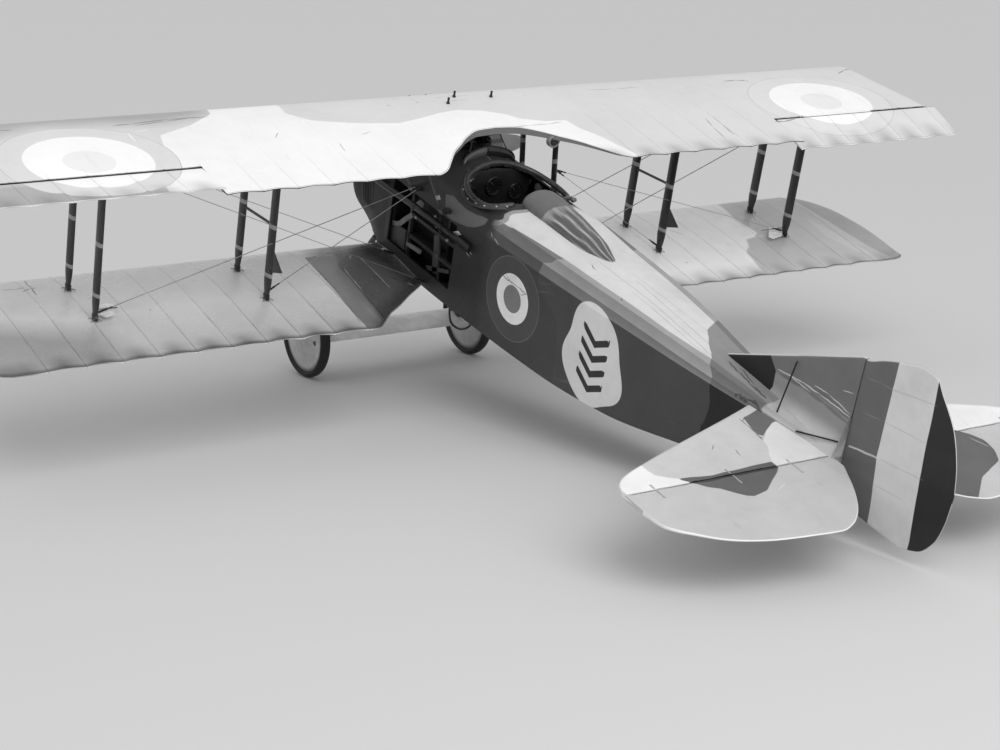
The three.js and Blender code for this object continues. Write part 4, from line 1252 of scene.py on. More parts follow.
def buildNose():
    # rings of the nose surface with marks for its seams and louvres, which stand proud of the side
    y = np.unique(np.concatenate([-106 + 12 * (1 - np.cos(np.linspace(0, np.pi / 2, 8))),
                                  np.linspace(-94, 32, 64)]))
    r = np.broadcast_to(np.linspace(0, 16, 129)[:-1], (len(y), 128))
    p = noseSurface(y, r)
    v, back = cowl["louvres"], np.minimum(r, 16 - r)
    seams = np.min([np.abs(p[..., 1] - s) for s in cowl["seams"]], 0)
    seams = np.minimum(seams, np.where(p[..., 1] > -82, np.abs(back - 5.4) * 22, 60))
    pitch = (v["to"] - v["from"]) / v["count"]
    slot = np.abs(np.mod(p[..., 1] - v["from"], pitch) - pitch / 2)
    ahead, above = np.maximum(v["from"] - p[..., 1], p[..., 1] - v["to"]), np.maximum(v["low"] - p[..., 2],
        p[..., 2] - v["high"])
    outside = np.maximum(ahead, above)
    inside = smoothStep(0.5, -2.5, outside)
    # louvres stand proud: a ramp across each pitch, steep at its rear
    phase = np.mod(p[..., 1] - v["from"], pitch) / pitch
    lift = 1.8 * inside * phase ** 1.5 * (1 - smoothStep(0.86, 1.0, phase))
    away = p - np.stack([0 * p[..., 0], p[..., 1], 0 * p[..., 2] + cowl["centre"]], -1)
    p = p + away / np.linalg.norm(away, axis=-1, keepdims=True) * lift[..., None]
    return gridShape(p, True, marks={"seamMm": seams, "louvreMm": np.where(inside > 0.5, slot, 30)},
                     caps=(True, True))


def paintedMetal(name, tone, seam="seamMm", rough=0.4, metal=0.0, chips=0.5, under=150):
    # cloudy paint, chips through to the metal, smudges, and a dark groove where the seam mark is small
    full = grey(tone)
    deep = tuple(c * 0.72 for c in full[:3]) + (1,)

    def base(tree):
        colour = blendColour(tree, mottle(tree, 9, 4, 0.6), full, deep)
        colour = blendColour(tree, times(tree, wornMask(tree, 70, chips), 0.6), colour, grey(under))
        colour = smudged(tree, colour, 9, 0.35, 140)
        return blendColour(tree, span(tree, mark(tree, seam), 1.0, 0.4, 0, 0.8), colour,
                           grey(16)) if seam else colour

    def surface(tree):
        height = times(tree, clouds(tree, 55, 3, 0.5), 0.5)
        height = plus(tree, height, span(tree, mark(tree, seam), 0.3, 1.4)) if seam else height
        return bump(tree, height, 0.0005, 0.6)

    return newMaterial(name, base, mottled(17, 4, 0.6, rough - 0.08, rough + 0.14), metal, 0.1, surface)


cowlPaint = paintedMetal("cowlPaint", 24, rough=0.62, chips=0.15)
makePiece("nose_cowl_skin", buildNose(), cowlPaint, replaces="nose_cowl", sharp=30)

# tail: leaves with a rounded edge

tail = {
    "fin": {"low": [(905, -101), (1000, -112), (1211.7, -111)],
            "high": [(905, -99.5), (918, -88), (1206, 49), (1211.7, 50)], "half": 4.0},
    "rudder": {
        "low": [(1212, -176), (1218, -176), (1280, -188), (1350, -190), (1398, -176), (1424, -146),
                (1435, -105), (1437, -66)],
        "high": [(1212, 48), (1218, 49), (1245, 62), (1276, 75), (1326, 90), (1349, 89), (1368, 70),
                 (1406, 28), (1428, -20), (1437, -58)],
        "ribUp": (22, -33, -88, -132), "hinge": 1216, "half": 4,
        "stripes": [[(90, 1272), (75, 1276), (-78, 1279), (-157, 1291), (-190, 1294)],
                    [(95, 1355), (32, 1361), (-23, 1364), (-122, 1374), (-170, 1380)]],
    },
    "stab": {"front": [(10, 1016), (42, 1030), (323, 1134), (376, 1158), (396, 1176), (402, 1192)],
             "back": 1202.7, "plane": -120, "half": 4.0, "ribs": (40, 100, 160, 220, 280, 340, 400)},
    "elevator": {"back": [(20, 1238), (22, 1242), (59, 1310), (92, 1352), (120, 1374), (147, 1384),
                          (200, 1380), (257, 1373), (300, 1362), (331, 1349), (366, 1324), (400, 1288),
                          (405, 1246)], "hinge": 1207, "nose": 4},
}
tailPaint = {
    "finDark": [(-120, 1020), (-109, 1025), (-87, 1037), (-60, 1036), (-41, 1016), (-30, 1008), (60, 990)],
    "tipLine": [(1100, 329), (1142, 329), (1152, 329), (1169, 326), (1184, 305), (1203, 272), (1210, 281),
                (1222, 270), (1231, 253)],
    "rootPatch": [(0, 1030), (40, 1050), (77, 1064), (87, 1098), (93, 1129), (67, 1108), (41, 1091),
                  (0, 1085)],
    "jag": [(0, 1060), (30, 1080), (41, 1091), (67, 1108), (85, 1127), (93, 1131), (99, 1150), (105, 1161),
            (112, 1170), (123, 1191), (124, 1206), (0, 1206)],
    "finFold": [(1020, -60), (1040, -56), (1088, -52), (1142, -50), (1212, -52)],
    # crease lines are drawn light as painted highlights, shade lines dark as painted shade under the folds
    "finCreases": [(1.3, 0.6, [(1040, -55), (1099, -49), (1137, -49), (1209, -51)]),
                   (1.1, 0.7, [(1123, -41), (1155, -40), (1208, -46)]),
                   (0.9, 0.9, [(1060, -52), (1120, -56)]), (0.8, 0.9, [(1180, -20), (1206, -12)])],
    "finShades": [(3.2, 0.7, [(1046, -60), (1100, -56), (1150, -58), (1208, -62)]),
                  (2.4, 0.8, [(1120, -47), (1160, -47), (1206, -55)])],
    "rudderRidges": [(1.1, 0.7, [(1223, 23), (1252, 28), (1300, 33)]), (1.3, 0.6, [(1280, 32), (1363, 48)]),
                     (1.1, 0.7, [(1230, -31), (1269, -24), (1365, -13)]),
                     (1.2, 0.6, [(1285, -81), (1330, -75), (1375, -68)]),
                     (1.0, 0.7, [(1285, -124), (1350, -116)])],
    "stripes": [("stripeTwo", 0, 0.7, 220), ("stripeOne", 0, 0.7, 100), ("edgeMm", 1.0, 0.6, 190)],
    "rudderLever": [(1.7, 0.2, [(1222, -93), (1285, -81)])],
    # painted shade in the hinge gap between tailplane and elevator
    "gapShadeBar": [(3.6, 0.08, [(129, 1205.2), (282, 1205.2)])],
    "gapShadeLine": [(1.5, 0.2, [(-396, 1205.2), (-20, 1205.2)]), (1.5, 0.2, [(20, 1205.2), (396, 1205.2)])],
    "stabTears": [(1.2, 0.7, [(86, 1064), (87, 1085), (90, 1110), (93, 1132)]),
                  (1.0, 0.9, [(156, 1142), (161, 1163)]), (0.9, 0.9, [(180, 1120), (192, 1133)]),
                  (1.0, 0.9, [(70, 1060), (86, 1072)])],
    "stabLights": [(0.9, 0.9, [(146, 1250), (170, 1262)]), (1.0, 0.8, [(-120, 1230), (-160, 1290)]),
                   (0.9, 0.9, [(-250, 1225), (-262, 1262)])],
    "hingePatch": [(124, 1190), (124, 1207), (136, 1219), (159, 1236), (186, 1257), (221, 1266),
                   (234, 1253), (253, 1231), (270, 1222), (281, 1210), (300, 1188), (240, 1196)],
    "starPatch": [(0, 1195), (239, 1195), (260, 1219), (270, 1242), (263, 1272), (246, 1299), (180, 1330),
                  (100, 1400), (0, 1400)],
}


def leafShape(a, low, high, plane, half, edge=3.0, cells=20, upright=True, rounded=(True, True), extra=None,
              ribs=None):
    # cross-section at each a: two faces from low to high, half thick apart, drawn in to nothing over
    # edge millimetres
    t = (1 - np.cos(np.linspace(0, np.pi, cells + 1))) / 2
    c = low[:, None] + t[None] * (high - low)[:, None]
    gap = np.minimum(np.where(rounded[0], c - low[:, None], 99), np.where(rounded[1], high[:, None] - c, 99))
    drawn = np.sqrt(np.clip(1 - (1 - np.clip(gap / edge, 0, 1)) ** 2, 0, 1))
    thick = half[:, None] * drawn
    if ribs is not None:
        ribGap = np.min([np.abs(a - k) for k in ribs], 0)
        wide = np.median(np.diff(ribs)) / 2
        hollow = 0.9 * (1 - (1 - np.clip(ribGap / wide, 0, 1)) ** 2)[:, None]
        thick = thick - hollow * smoothStep(6, 24, gap) * np.clip(half[:, None] / 3, 0, 1)
    aa = np.broadcast_to(a[:, None], c.shape)
    order = (lambda s: np.stack([plane + s * thick, aa, c], -1)) if upright else (
        lambda s: np.stack([aa, c, plane + s * thick], -1))
    one, two = order(1), order(-1)
    ring = np.concatenate([one, two[:, -2:0:-1]], 1)
    marks = {"edgeMm": np.concatenate([gap, gap[:, -2:0:-1]], 1)}
    marks["ribMm"] = (ribGap if ribs is not None else np.full(len(a), 40.0))[:,
        None] * np.ones(ring.shape[1])
    marks["ribFade"] = np.ones(ring.shape[:2])
    marks.update(extra(ring.reshape(-1, 3)) if extra else {})
    return gridShape(ring, True, marks=marks, caps=(True, True))


def endSpaced(first, last, count):
    # even steps that grow small at both ends
    t = np.linspace(0, 1, count)
    return first + (last - first) * (0.35 * t + 0.65 * (1 - np.cos(np.pi * t)) / 2)


def buildFin():
    # a leaf on the centre line; the foot widens into the tailplane in a hollow curve, with a belly a
    # little above it
    f = tail["fin"]
    y = endSpaced(905.5, 1211.7, 60)
    low, high = linesThrough(f["low"], y), linesThrough(f["high"], y)
    dark, fold = (np.array(tailPaint[k], float) for k in ("finDark", "finFold"))

    def extra(p):
        # painted light: a share that is high near the foot and in a band under the fold line
        under = np.interp(p[:, 1], fold[:, 0], fold[:, 1]) - p[:, 2]
        foot = 0.42 * smoothStep(-76, -106, p[:, 2])
        glow = foot + 0.16 * smoothStep(-4, 12, under) * smoothStep(70, 24, under)
        return {"darkMm": p[:, 1] - np.interp(p[:, 2], dark[:, 0], dark[:, 1]), "glow": glow}

    p, faces, marks = leafShape(y, low - 6, high, 0, np.full(len(y), f["half"]), 5, 34, True, (False, True),
                                extra)
    x, y, z = p.T
    down = np.clip((-74 - z) / 43, 0, 1)
    aft = smoothStep(1046, 1110, y)
    belly = 1.6 * np.sin(np.pi * np.clip((z + 74) / 110, 0, 1)) * smoothStep(1045, 1090,
        y) * smoothStep(1210, 1180, y)
    x += np.sign(x) * (21 * down ** 2.4 * aft - belly * (np.abs(x) > 2))
    return p, faces, marks


def buildRudder():
    # a leaf whose front is a half circle about the hinge line;
    # it thins to the trailing edge, with faint rib ridges
    f = tail["rudder"]
    hinge, half = f["hinge"], f["half"]
    y = np.concatenate([hinge - half * np.cos(np.linspace(0, np.pi / 2, 6))[:-1],
                        endSpaced(hinge, 1436.6, 60)])
    low, high = (curveThrough(*np.array(f[k], float).T, y) for k in ("low", "high"))
    nose = np.sqrt(np.clip(half ** 2 - (hinge - y) ** 2, 0.04, half ** 2))
    thick = np.where(y < hinge, nose, half + (0.9 - half) * np.clip((y - hinge) / 225, 0, 1))
    lines = [np.array(line, float)[::-1] for line in f["stripes"]]

    def extra(p):
        aft = [p[:, 1] - np.interp(p[:, 2], line[:, 0], line[:, 1]) for line in lines]
        return {"stripeOne": aft[0], "stripeTwo": aft[1]}

    p, faces, marks = leafShape(y, low, high, 0, thick, 3, 34, True, (True, True), extra)
    x, y, z = p.T
    ridge = np.max([smoothStep(7, 0, np.abs(z - up - 0.13 * (y - 1212))) for up in f["ribUp"]], 0)
    x += np.sign(x) * (0.7 * ridge - 0.5) * (np.abs(x) > 1.2) * smoothStep(1218, 1232, y)
    return p, faces, marks


def tailMarks(p):
    # distances to the painted outlines of tailplane and elevator, in plan;
    # far away on the side that has no such paint
    xy = np.stack([np.abs(p[:, 0]), p[:, 1]], -1)
    tip = np.array(tailPaint["tipLine"], float)
    star = p[:, 0] < 0
    far = np.full(len(p), 90.0)
    return {
        "tipMm": np.where(star, far, np.interp(p[:, 1], tip[:, 0], tip[:, 1]) - xy[:, 0]),
        "rootMm": np.where(star, far, outlineDistance(xy, tailPaint["rootPatch"])),
        "jagMm": outlineDistance(xy, tailPaint["jag"]),
        "hingeMm": np.where(star, far, outlineDistance(xy, tailPaint["hingePatch"])),
        "starMm": np.where(star, outlineDistance(xy, tailPaint["starPatch"]), far),
        "starStabMm": np.where(star & (p[:, 1] < 1204), -9.0, 90),
        # the elevators carry a painted shade, darker than the tailplane
        "flapMm": np.where(p[:, 1] > 1203.5, -9.0, 90),
    }


def buildTailplane(side):
    # a flat leaf from its front curve to the hinge line; the root runs on inside the fuselage
    f = tail["stab"]
    sign = 1 if side == "port" else -1
    x = endSpaced(10, 401.5, 56)
    front = curveThrough(*np.array(f["front"], float).T, x)
    back, half = np.full(len(x), f["back"]), np.full(len(x), f["half"])
    shape = leafShape(x, front, back, f["plane"], half, 5, 22, False, (True, False),
                      lambda p: tailMarks(p * [sign, 1, 1]), f["ribs"])
    return moved(shape, mirror=side == "starboard")


def buildElevator(side):
    # two faces that close towards the trailing edge, a little hollow between the ribs, behind a round nose
    f, plane = tail["elevator"], tail["stab"]["plane"]
    x = endSpaced(20, 404.6, 60)
    back = curveThrough(*np.array(f["back"], float).T, x)
    t = (1 - np.cos(np.linspace(0, np.pi, 25))) / 2
    y = f["hinge"] + t[None] * (back - f["hinge"])[:, None]
    half = f["nose"] + (0.9 - f["nose"]) * np.clip((y - f["hinge"]) / 180, 0, 1)
    gap = back[:, None] - y
    half = half * np.sqrt(np.clip(1 - (1 - np.clip(gap / 2.0, 0.05, 1)) ** 2, 0, 1))
    ribGap = np.min([np.abs(x - k) for k in tail["stab"]["ribs"]], 0)
    hollow = 0.8 * (1 - (1 - ribGap / 30) ** 2)[:, None]
    half = half - hollow * smoothStep(8, 30, gap) * np.clip(half / 3, 0, 1)
    nose = roundNose(x, f["hinge"], plane, f["nose"], [120, 150, 180, 210, 240])
    xs = np.broadcast_to(x[:, None], y.shape)
    top, low = (np.stack([xs, y, plane + s * half], -1) for s in (1, -1))
    ring = np.concatenate([top[:, ::-1], nose, low], 1)
    one = np.ones(ring.shape[:2])
    edge = np.concatenate([gap[:, ::-1], np.full((len(x), 5), 90), gap], 1)
    paint = tailMarks(ring.reshape(-1, 3) * [1 if side == "port" else -1, 1, 1])
    marks = {"edgeMm": edge, "ribMm": ribGap[:, None] * one, "ribFade": one, **paint}
    return moved(gridShape(ring, True, marks=marks, caps=(True, True)), mirror=side == "starboard")


# fin: a darker ground with painted light by its mark; shade lines are painted shade, crease lines painted
# highlights
finCloth = dopedCloth("finCloth", 114, [("darkMm", 0, 1.0, 14), ("edgeMm", 1.3, 1.0, 214)], rough=0.42,
                      ribShade=0, dirt=0.24,
                      lines=[(92, 0.6, tailPaint["finShades"]), (226, 0.7, tailPaint["finCreases"])],
                      flat=(0, 1, 1), folds=tailPaint["finCreases"][:2], gradient=lambda tree,
                      ground: blendColour(tree, mark(tree, "glow"), ground, grey(250)))


def stripeRudder():
    # the stripes lie between two lines: mid grey in front, light between, dark behind
    side = (0, 1, 1)

    def base(tree):
        colour = layerColour(tree, grey(24), tailPaint["stripes"], 0.3)
        colour = dimmed(tree, mottle(tree, 8, 4, 0.6, 0, 0.15), colour, grey(190))
        colour = drawnLines(tree, colour, 150, 0.3, tailPaint["rudderRidges"], side)
        colour = drawnLines(tree, colour, 222, 0.7, tailPaint["rudderLever"], side)
        return smudged(tree, colour, 8, 0.26, 170)

    return newMaterial("rudderPaint", base, mottled(13, 4, 0.6, 0.36, 0.54), 0, 0.05,
                       rippled(28, 3, 0.55, 0.0006, 0.4))


# tail cloth: paint patches, the elevators darker as painted shade, and painted shade in the hinge gap
tailCloth = dopedCloth("tailCloth", 203,
                       [("jagMm", 0, 1.2, 224), ("tipMm", 0, 1.0, 242), ("starStabMm", 0, 1.0, 238),
                        ("flapMm", 0, 0.5, 194), ("rootMm", 0, 1.4, 106), ("hingeMm", 0, 1.6, 92),
                        ("starMm", 0, 1.2, 92), ("edgeMm", 1.8, 0.8, 236)], rough=0.42, ribShade=0.05,
                       dirt=0.26, lines=[(24, 0.95, tailPaint["gapShadeBar"]), (60, 0.8, tailPaint["gapShadeLine"]),
                                         (60, 0.7, tailPaint["stabTears"]),
                                         (232, 0.5, tailPaint["stabLights"])])
makePiece("fin_skin", buildFin(), finCloth, replaces="fin", sharp=35)
makePiece("rudder_skin", buildRudder(), stripeRudder(), "rudder", "rudder", sharp=35)
for side in ("port", "starboard"):
    makePiece(f"tailplane_{side}_skin", buildTailplane(side), tailCloth, replaces=f"tailplane_{side}",
              sharp=35)
    makePiece(f"elevator_{side}_skin", buildElevator(side), tailCloth, "elevator", f"elevator_{side}",
              sharp=45)
print("nose and tail made")


# struts

strutForm = {
    "across": 5.5, "along": 11.6, "outer": 758.7, "inner": 434.8, "front": (79.3, 87), "rear": (190.7, 201),
    "bands": (0.15, 0.5, 0.83), "bandTall": 8, "plate": [(5, -172), (54, -207), (12, -224)],
    "brace": ((79.3, -148), (190.7, -138)), "braceRadius": 2.6,
    "cabanes": {"front": (68, 136), "rear": (178, 242)}, "cabaneTop": 151, "cabaneFoot": (121, -118),
    "cabane": (3.2, 7.5),
    "bracket": [(101, -121), (112, -121), (124, -121)], "bracketHalf": (7, 3.5),
}


def wingUnder(y):
    # the upper wing's underside at y
    return sectionHeights(np.array([y / upperWing["chord"]]))[1][0] * upperWing["chord"]


def wingTop(y):
    # the upper wing's upper side at y
    return sectionHeights(np.array([y / upperWing["chord"]]))[0][0] * upperWing["chord"]


def lowerTop(y):
    # the lower wing's upper side at y
    w = lowerWing
    return w["plane"] + sectionHeights(np.array([(y - w["front"]) / w["chord"]]))[0][0] * w["chord"]


def teardrop(across, along, sides=20):
    # an ellipse whose rear half is drawn thin
    t = np.arange(sides) * 2 * np.pi / sides
    return np.stack([across * np.sin(t) * (1 - 0.28 * (1 + np.cos(t)) * 0.5), along * np.cos(t)], -1)


def strutShape(top, foot, across, along):
    # a teardrop from top to foot, thinner at both ends; bandMm is the distance to the nearest tape band
    share = np.linspace(0, 1, 41)[:, None]
    path = np.asarray(top, float) * (1 - share) + np.asarray(foot, float) * share
    size = 1 - 0.42 * smoothStep(0.86, 1.0, share[:, 0]) - 0.2 * smoothStep(0.1, 0.0, share[:, 0])
    shape = pathShape(path, size, profile=teardrop(across, along), aim=(0, 1, 0))
    length = np.linalg.norm(np.subtract(top, foot))
    p, faces, marks = shape
    marks["bandMm"] = np.min([np.abs(marks["alongMm"] - length * b) for b in strutForm["bands"]], 0)
    return p, faces, marks


def unbanded(shape):
    # a part without the tape bands
    return shape[0], shape[1], {**shape[2], "bandMm": np.full(len(shape[0]), 90.0),
                                "alongMm": np.zeros(len(shape[0]))}


def strutMaterial():
    # dark wood along the strut, tape bands with their turns, rubbed spots
    def base(tree):
        vector = addNode(tree, "ShaderNodeMapping", {"Vector": place(tree), "Scale": (9, 9, 0.6)}).outputs[0]
        grain = useGroup(tree, woodGrain, {"Vector": vector, "Scale": 14})
        colour = blendColour(tree, span(tree, grain["Figure"], 0.3, 0.7), grey(24), grey(46))
        band = painted(tree, mark(tree, "bandMm"), strutForm["bandTall"] / 2, 0.5, 1.6)
        colour = blendColour(tree, band, colour, grey(158))
        return blendColour(tree, times(tree, wornMask(tree, 90, 0.6), 0.5), colour, grey(120))

    def surface(tree):
        turns = sums(tree, "SINE", times(tree, mark(tree, "alongMm"), 6.2))
        band = painted(tree, mark(tree, "bandMm"), strutForm["bandTall"] / 2, 0.8)
        return bump(tree, times(tree, band, plus(tree, times(tree, turns, 0.3), 1)), 0.0006, 0.7)

    return newMaterial("strutWood", base, mottled(20, 3, 0.5, 0.34, 0.52), 0, 0.15, surface)


strutWood = strutMaterial()


def makeStruts():
    # wing struts and cabane struts between points on the two wings and the fuselage, and a rod from
    # strut to strut
    f = strutForm
    corners = [(-1, -1), (1, -1), (1, 1), (-1, 1)]
    for side, sign in (("port", 1), ("starboard", -1)):
        def strut(name, shapes):
            makePiece(f"{name}_wood", moved(joinShapes(shapes), mirror=sign < 0), strutWood, replaces=name,
                      sharp=40)

        for row, end in (("outer", "front"), ("outer", "rear"), ("inner", "front"), ("inner", "rear")):
            x, (topY, footY) = f[row], f[end]
            top, foot = (x, topY, wingUnder(topY) - 0.4), (x, footY, lowerTop(footY) + 0.4)
            shapes = [strutShape(top, foot, f["across"], f["along"])]
            if (row, end) == ("inner", "rear"):
                shapes.append(unbanded(plateShape([(topY + a, z) for a, z in f["plate"]], 2.0, 0, x, 0.05)))
            strut(f"strut_{row}_{end}_{side}", shapes)
        for end, (topY, footY) in f["cabanes"].items():
            footX, footZ = f["cabaneFoot"]
            whole = strutShape((f["cabaneTop"], topY, wingUnder(topY) - 0.4), (footX, footY, footZ),
                               *f["cabane"])
            path = [(x, footY, z) for x, z in f["bracket"]]
            bracket = pathShape(path, 1, profile=np.multiply(corners, f["bracketHalf"]), aim=(0, 0, 1))
            strut(f"cabane_{end}_{side}", [whole, unbanded(bracket)])
        (y0, z0), (y1, z1) = f["brace"]
        rod = pathShape(np.linspace((f["inner"], y0 + 6, z0), (f["inner"], y1 - 4, z1), 12),
                        f["braceRadius"], 12)
        makePiece(f"strut_brace_{side}_rod", moved(unbanded(rod), mirror=sign < 0), strutWood,
                  replaces=f"strut_brace_{side}", sharp=40)


makeStruts()
print("struts made")


# cockpit surround and headrest

coaming = {
    "path": [(0, 212, -49), (36, 217, -53), (70, 234, -63), (89, 268, -72), (93, 301, -76), (86, 331, -76),
             (66, 349, -70), (48, 357, -66)], "radius": 5.4,
    "stitch": 6.0,
}
headrest = {
    "rows": [(356, 31, 17, -62), (358, 33, 20, -62), (368, 38, 25, -63), (394, 39, 27, -65),
             (458, 36, 25, -70), (532, 29, 17, -75), (585, 13, 8, -79), (612, 3, 3, -80)],
    "folds": 5.0, "foldDepth": 1.5,
}


def smoothPath(points, count):
    # a curve through the points, spaced by length
    p = np.asarray(points, float)
    run = runAlong(p)
    t = np.linspace(0, run[-1], count)
    slopes = np.gradient(p, run, axis=0)
    i = np.clip(np.searchsorted(run, t, side="right") - 1, 0, len(run) - 2)
    return cubic(((t - run[i]) / (run[i + 1] - run[i]))[:, None], (run[i + 1] - run[i])[:, None], p[i],
                 p[i + 1], slopes[i], slopes[i + 1])


def buildCoaming():
    # a round roll, drawn in a little at each stitch
    f = coaming
    port = np.array(f["path"], float)
    path = smoothPath(np.vstack([port[:0:-1] * [-1, 1, 1], port]), 220)
    run = np.linspace(0, 1, len(path))
    size = f["radius"] * (1 - 0.02 * np.cos(run * 2 * np.pi * 60)) * np.clip(0.55 + 40
        * np.minimum(run, 1 - run), 0.55, 1)
    return pathShape(path, size, 20)


def buildHeadrest():
    # half-round arches along the deck; folds run aft and meet at the tail
    f = headrest
    y = endSpaced(356, 611, 90)
    w, h, z = (band[:, None] for band in bandsThrough(f["rows"], y))
    t = np.radians(np.linspace(-14, 194, 73))[None]
    aft = smoothStep(415, 470, y)[:, None]
    one = t * f["folds"] + 0.5 * np.sin(y[:, None] / 31) + 0.25 * np.sin(y[:, None] / 11)
    two = t * 8.6 + 1.7 + y[:, None] / 88 + 0.3 * np.sin(y[:, None] / 17)
    wave = 1.0 - 2.2 * np.abs(np.sin(one)) ** 0.6 + 0.7 - 1.1 * np.abs(np.sin(two)) ** 0.5
    fold = f["foldDepth"] * aft * wave * np.clip(w / 40, 0.15, 1) * smoothStep(-0.1, 0.4, np.sin(t))
    x = (w + fold) * np.cos(t)
    up = np.where(np.sin(t) > 0, h + fold, h * 0.7) * np.sin(t)
    p = np.stack([x, np.broadcast_to(y[:, None], x.shape), z + up], -1)
    base = np.stack([x[:, [-1, 0]], np.broadcast_to(y[:, None], (len(y), 2)),
                     np.broadcast_to(z - 14, (len(y), 2))], -1)
    ring = np.concatenate([p, base], 1)
    # the fold mark is carried for the painted shade and light on the folds
    marks = {"backMm": ring[..., 1], "wrinkle": np.concatenate([wave * aft, np.zeros((len(y), 2))], 1)}
    return gridShape(ring, True, marks=marks, caps=(True, True))


def leather(name, dark, light, rough=0.42):
    # fine cells and a row of stitches along one side of the roll, rubbed in spots
    def base(tree):
        colour = blendColour(tree, mottle(tree, 30, 4, 0.6), grey(dark), grey(light))
        return blendColour(tree, times(tree, wornMask(tree, 120, 0.7), 0.35), colour, grey(110))

    def surface(tree):
        cells = addNode(tree, "ShaderNodeTexVoronoi",
                        {"Vector": place(tree), "Scale": 650}).outputs["Distance"]
        stitch = sums(tree, "SINE", times(tree, mark(tree, "alongMm"), 2 * math.pi / coaming["stitch"]))
        aside = sums(tree, "ABSOLUTE", minus(tree, mark(tree, "aroundShare"), 0.62))
        return bump(tree, plus(tree, cells, times(tree, span(tree, aside, 0.03, 0.01), stitch)), 0.0004, 0.5)

    return newMaterial(name, base, mottled(60, 3, 0.5, rough - 0.08, rough + 0.1), 0, 0.05, surface)


def headrestCloth():
    # leather in front; aft of the seam light cloth, with painted shade in the hollows
    # of its folds and painted light on their crests
    def base(tree):
        front = blendColour(tree, mottle(tree, 14, 4, 0.6), grey(84), grey(116))
        aft = blendColour(tree, span(tree, mark(tree, "wrinkle"), -0.9, 1.0), grey(86), grey(194))
        seam = plus(tree, mark(tree, "backMm"), times(tree, clouds(tree, 45, 3), 20))
        return smudged(tree, blendColour(tree, span(tree, seam, 436, 440), front, aft), 14, 0.4, 150)

    surface = rippled(75, 4, 0.6, 0.0008, 0.5, (1, 0.25, 1))
    return newMaterial("headrestCover", base, mottled(22, 3, 0.5, 0.38, 0.58), 0, 0.05, surface)


roll = makePiece("coaming_roll", buildCoaming(), leather("coamingLeather", 32, 56, 0.3), replaces="coaming")
rest = makePiece("headrest_cover", buildHeadrest(), headrestCloth(), replaces="headrest",
                 sharp=60)
print("coaming and headrest made")


# a plain painted or worn finish for small pieces

def plainFinish(name, dark, light, rough=0.5, metal=0.0, scale=18, stretch=None, coat=0.0):
    # two tones by the clouds, rubbed spots and smudges
    def base(tree):
        figure = clouds(tree, scale, 5, 0.62, stretch)
        colour = blendColour(tree, span(tree, figure, 0.3, 0.7), grey(dark), grey(light))
        colour = blendColour(tree, times(tree, wornMask(tree, 80, 0.4), 0.5), colour, grey(120))
        return smudged(tree, colour, 12, 0.35, 150)

    surface = rippled(scale * 4, 3, 0.55, 0.0003, 0.5, stretch)
    return newMaterial(name, base, mottled(scale * 1.6, 3, 0.5, rough - 0.08, rough + 0.12), metal, coat,
                       surface)


# small shapes

def rounded(low, high, r):
    # a rectangle with round corners as an outline
    (a0, b0), (a1, b1) = low, high
    r = min(r, (a1 - a0) / 2.01, (b1 - b0) / 2.01)
    t = np.radians(np.linspace(0, 90, 5))
    corners = [(a1 - r, b1 - r, 0), (a0 + r, b1 - r, 90), (a0 + r, b0 + r, 180), (a1 - r, b0 + r, 270)]
    return np.vstack([np.stack([a + r * np.cos(t + math.radians(s)), b + r * np.sin(t + math.radians(s))],
                               -1) for a, b, s in corners])


def blockShape(low, high, axis=0, r=1.0, edge=0.05):
    # a rounded rectangle carried along one axis
    a, b = [(1, 2), (0, 2), (0, 1)][axis]
    return plateShape(rounded((low[a], low[b]), (high[a], high[b]), r), high[axis] - low[axis], axis,
                      (low[axis] + high[axis]) / 2, edge)


def rodShape(points, radius, flat=1.0, bend=0, aim=(0, 0, 1), sides=10):
    # a round or flattened section along straight runs, or along a smooth path through the points
    path = smoothPath(points, bend) if bend else np.asarray(points, float)
    if len(path) == 2:
        path = np.linspace(path[0], path[1], 3)
    return pathShape(path, radius, profile=circle(sides) * [1, flat], aim=aim)


def domeShape(at, axis, radius, tall):
    # a rivet or bolt head
    rows = [[0.98, -0.4], [1, 0], [0.86, 0.55], [0.5, 0.9], [0.15, 1.0]]
    return turnedShape(np.array(rows) * [radius, tall], at, axis, 12)


def cushionShape(centre, half, crown, axis=2, power=3.2):
    # a superellipse outline; the height falls off from a crown to a pinched edge
    t = np.linspace(0, 2 * np.pi, 48, endpoint=False)
    shares = np.concatenate([np.linspace(0.05, 0.98, 12), [1.0], np.linspace(0.98, 0.05, 12)])
    side = np.concatenate([-np.ones(12), [0], np.ones(12)])
    lift = side * (1 - shares ** 4) ** 0.55
    a, b = [(1, 2), (2, 0), (0, 1)][axis]
    p = np.zeros((25, 48, 3))
    p[..., a] = half[a] * shares[:, None] * np.sign(np.cos(t)) * np.abs(np.cos(t)) ** (2 / power)
    p[..., b] = half[b] * shares[:, None] * np.sign(np.sin(t)) * np.abs(np.sin(t)) ** (2 / power)
    dip = 1 + crown * 0.12 * np.cos(p[..., a] / half[a] * 4.6) * np.cos(p[..., b] / half[b] * 3.2)
    p[..., axis] = half[axis] * lift[:, None] * dip
    return outward(gridShape(p + np.asarray(centre, float), True, caps=(True, True),
                             marks={"alongMm": np.tile(t * 40, 25),
                                    "aroundShare": np.repeat(shares * 0.6, 48)}))


wireTape = plainFinish("wireTape", 136, 172, 0.4, 0.3, 30)
darkSteel = plainFinish("darkSteel", 26, 46, 0.38, 0.5, 30)
blackPaint = plainFinish("blackPaint", 18, 32, 0.45, 0, 20)
brightAlloy = plainFinish("brightAlloy", 150, 236, 0.35, 0.4, 60)
boltSteel = plainFinish("boltSteel", 130, 180, 0.4, 0.5, 50)


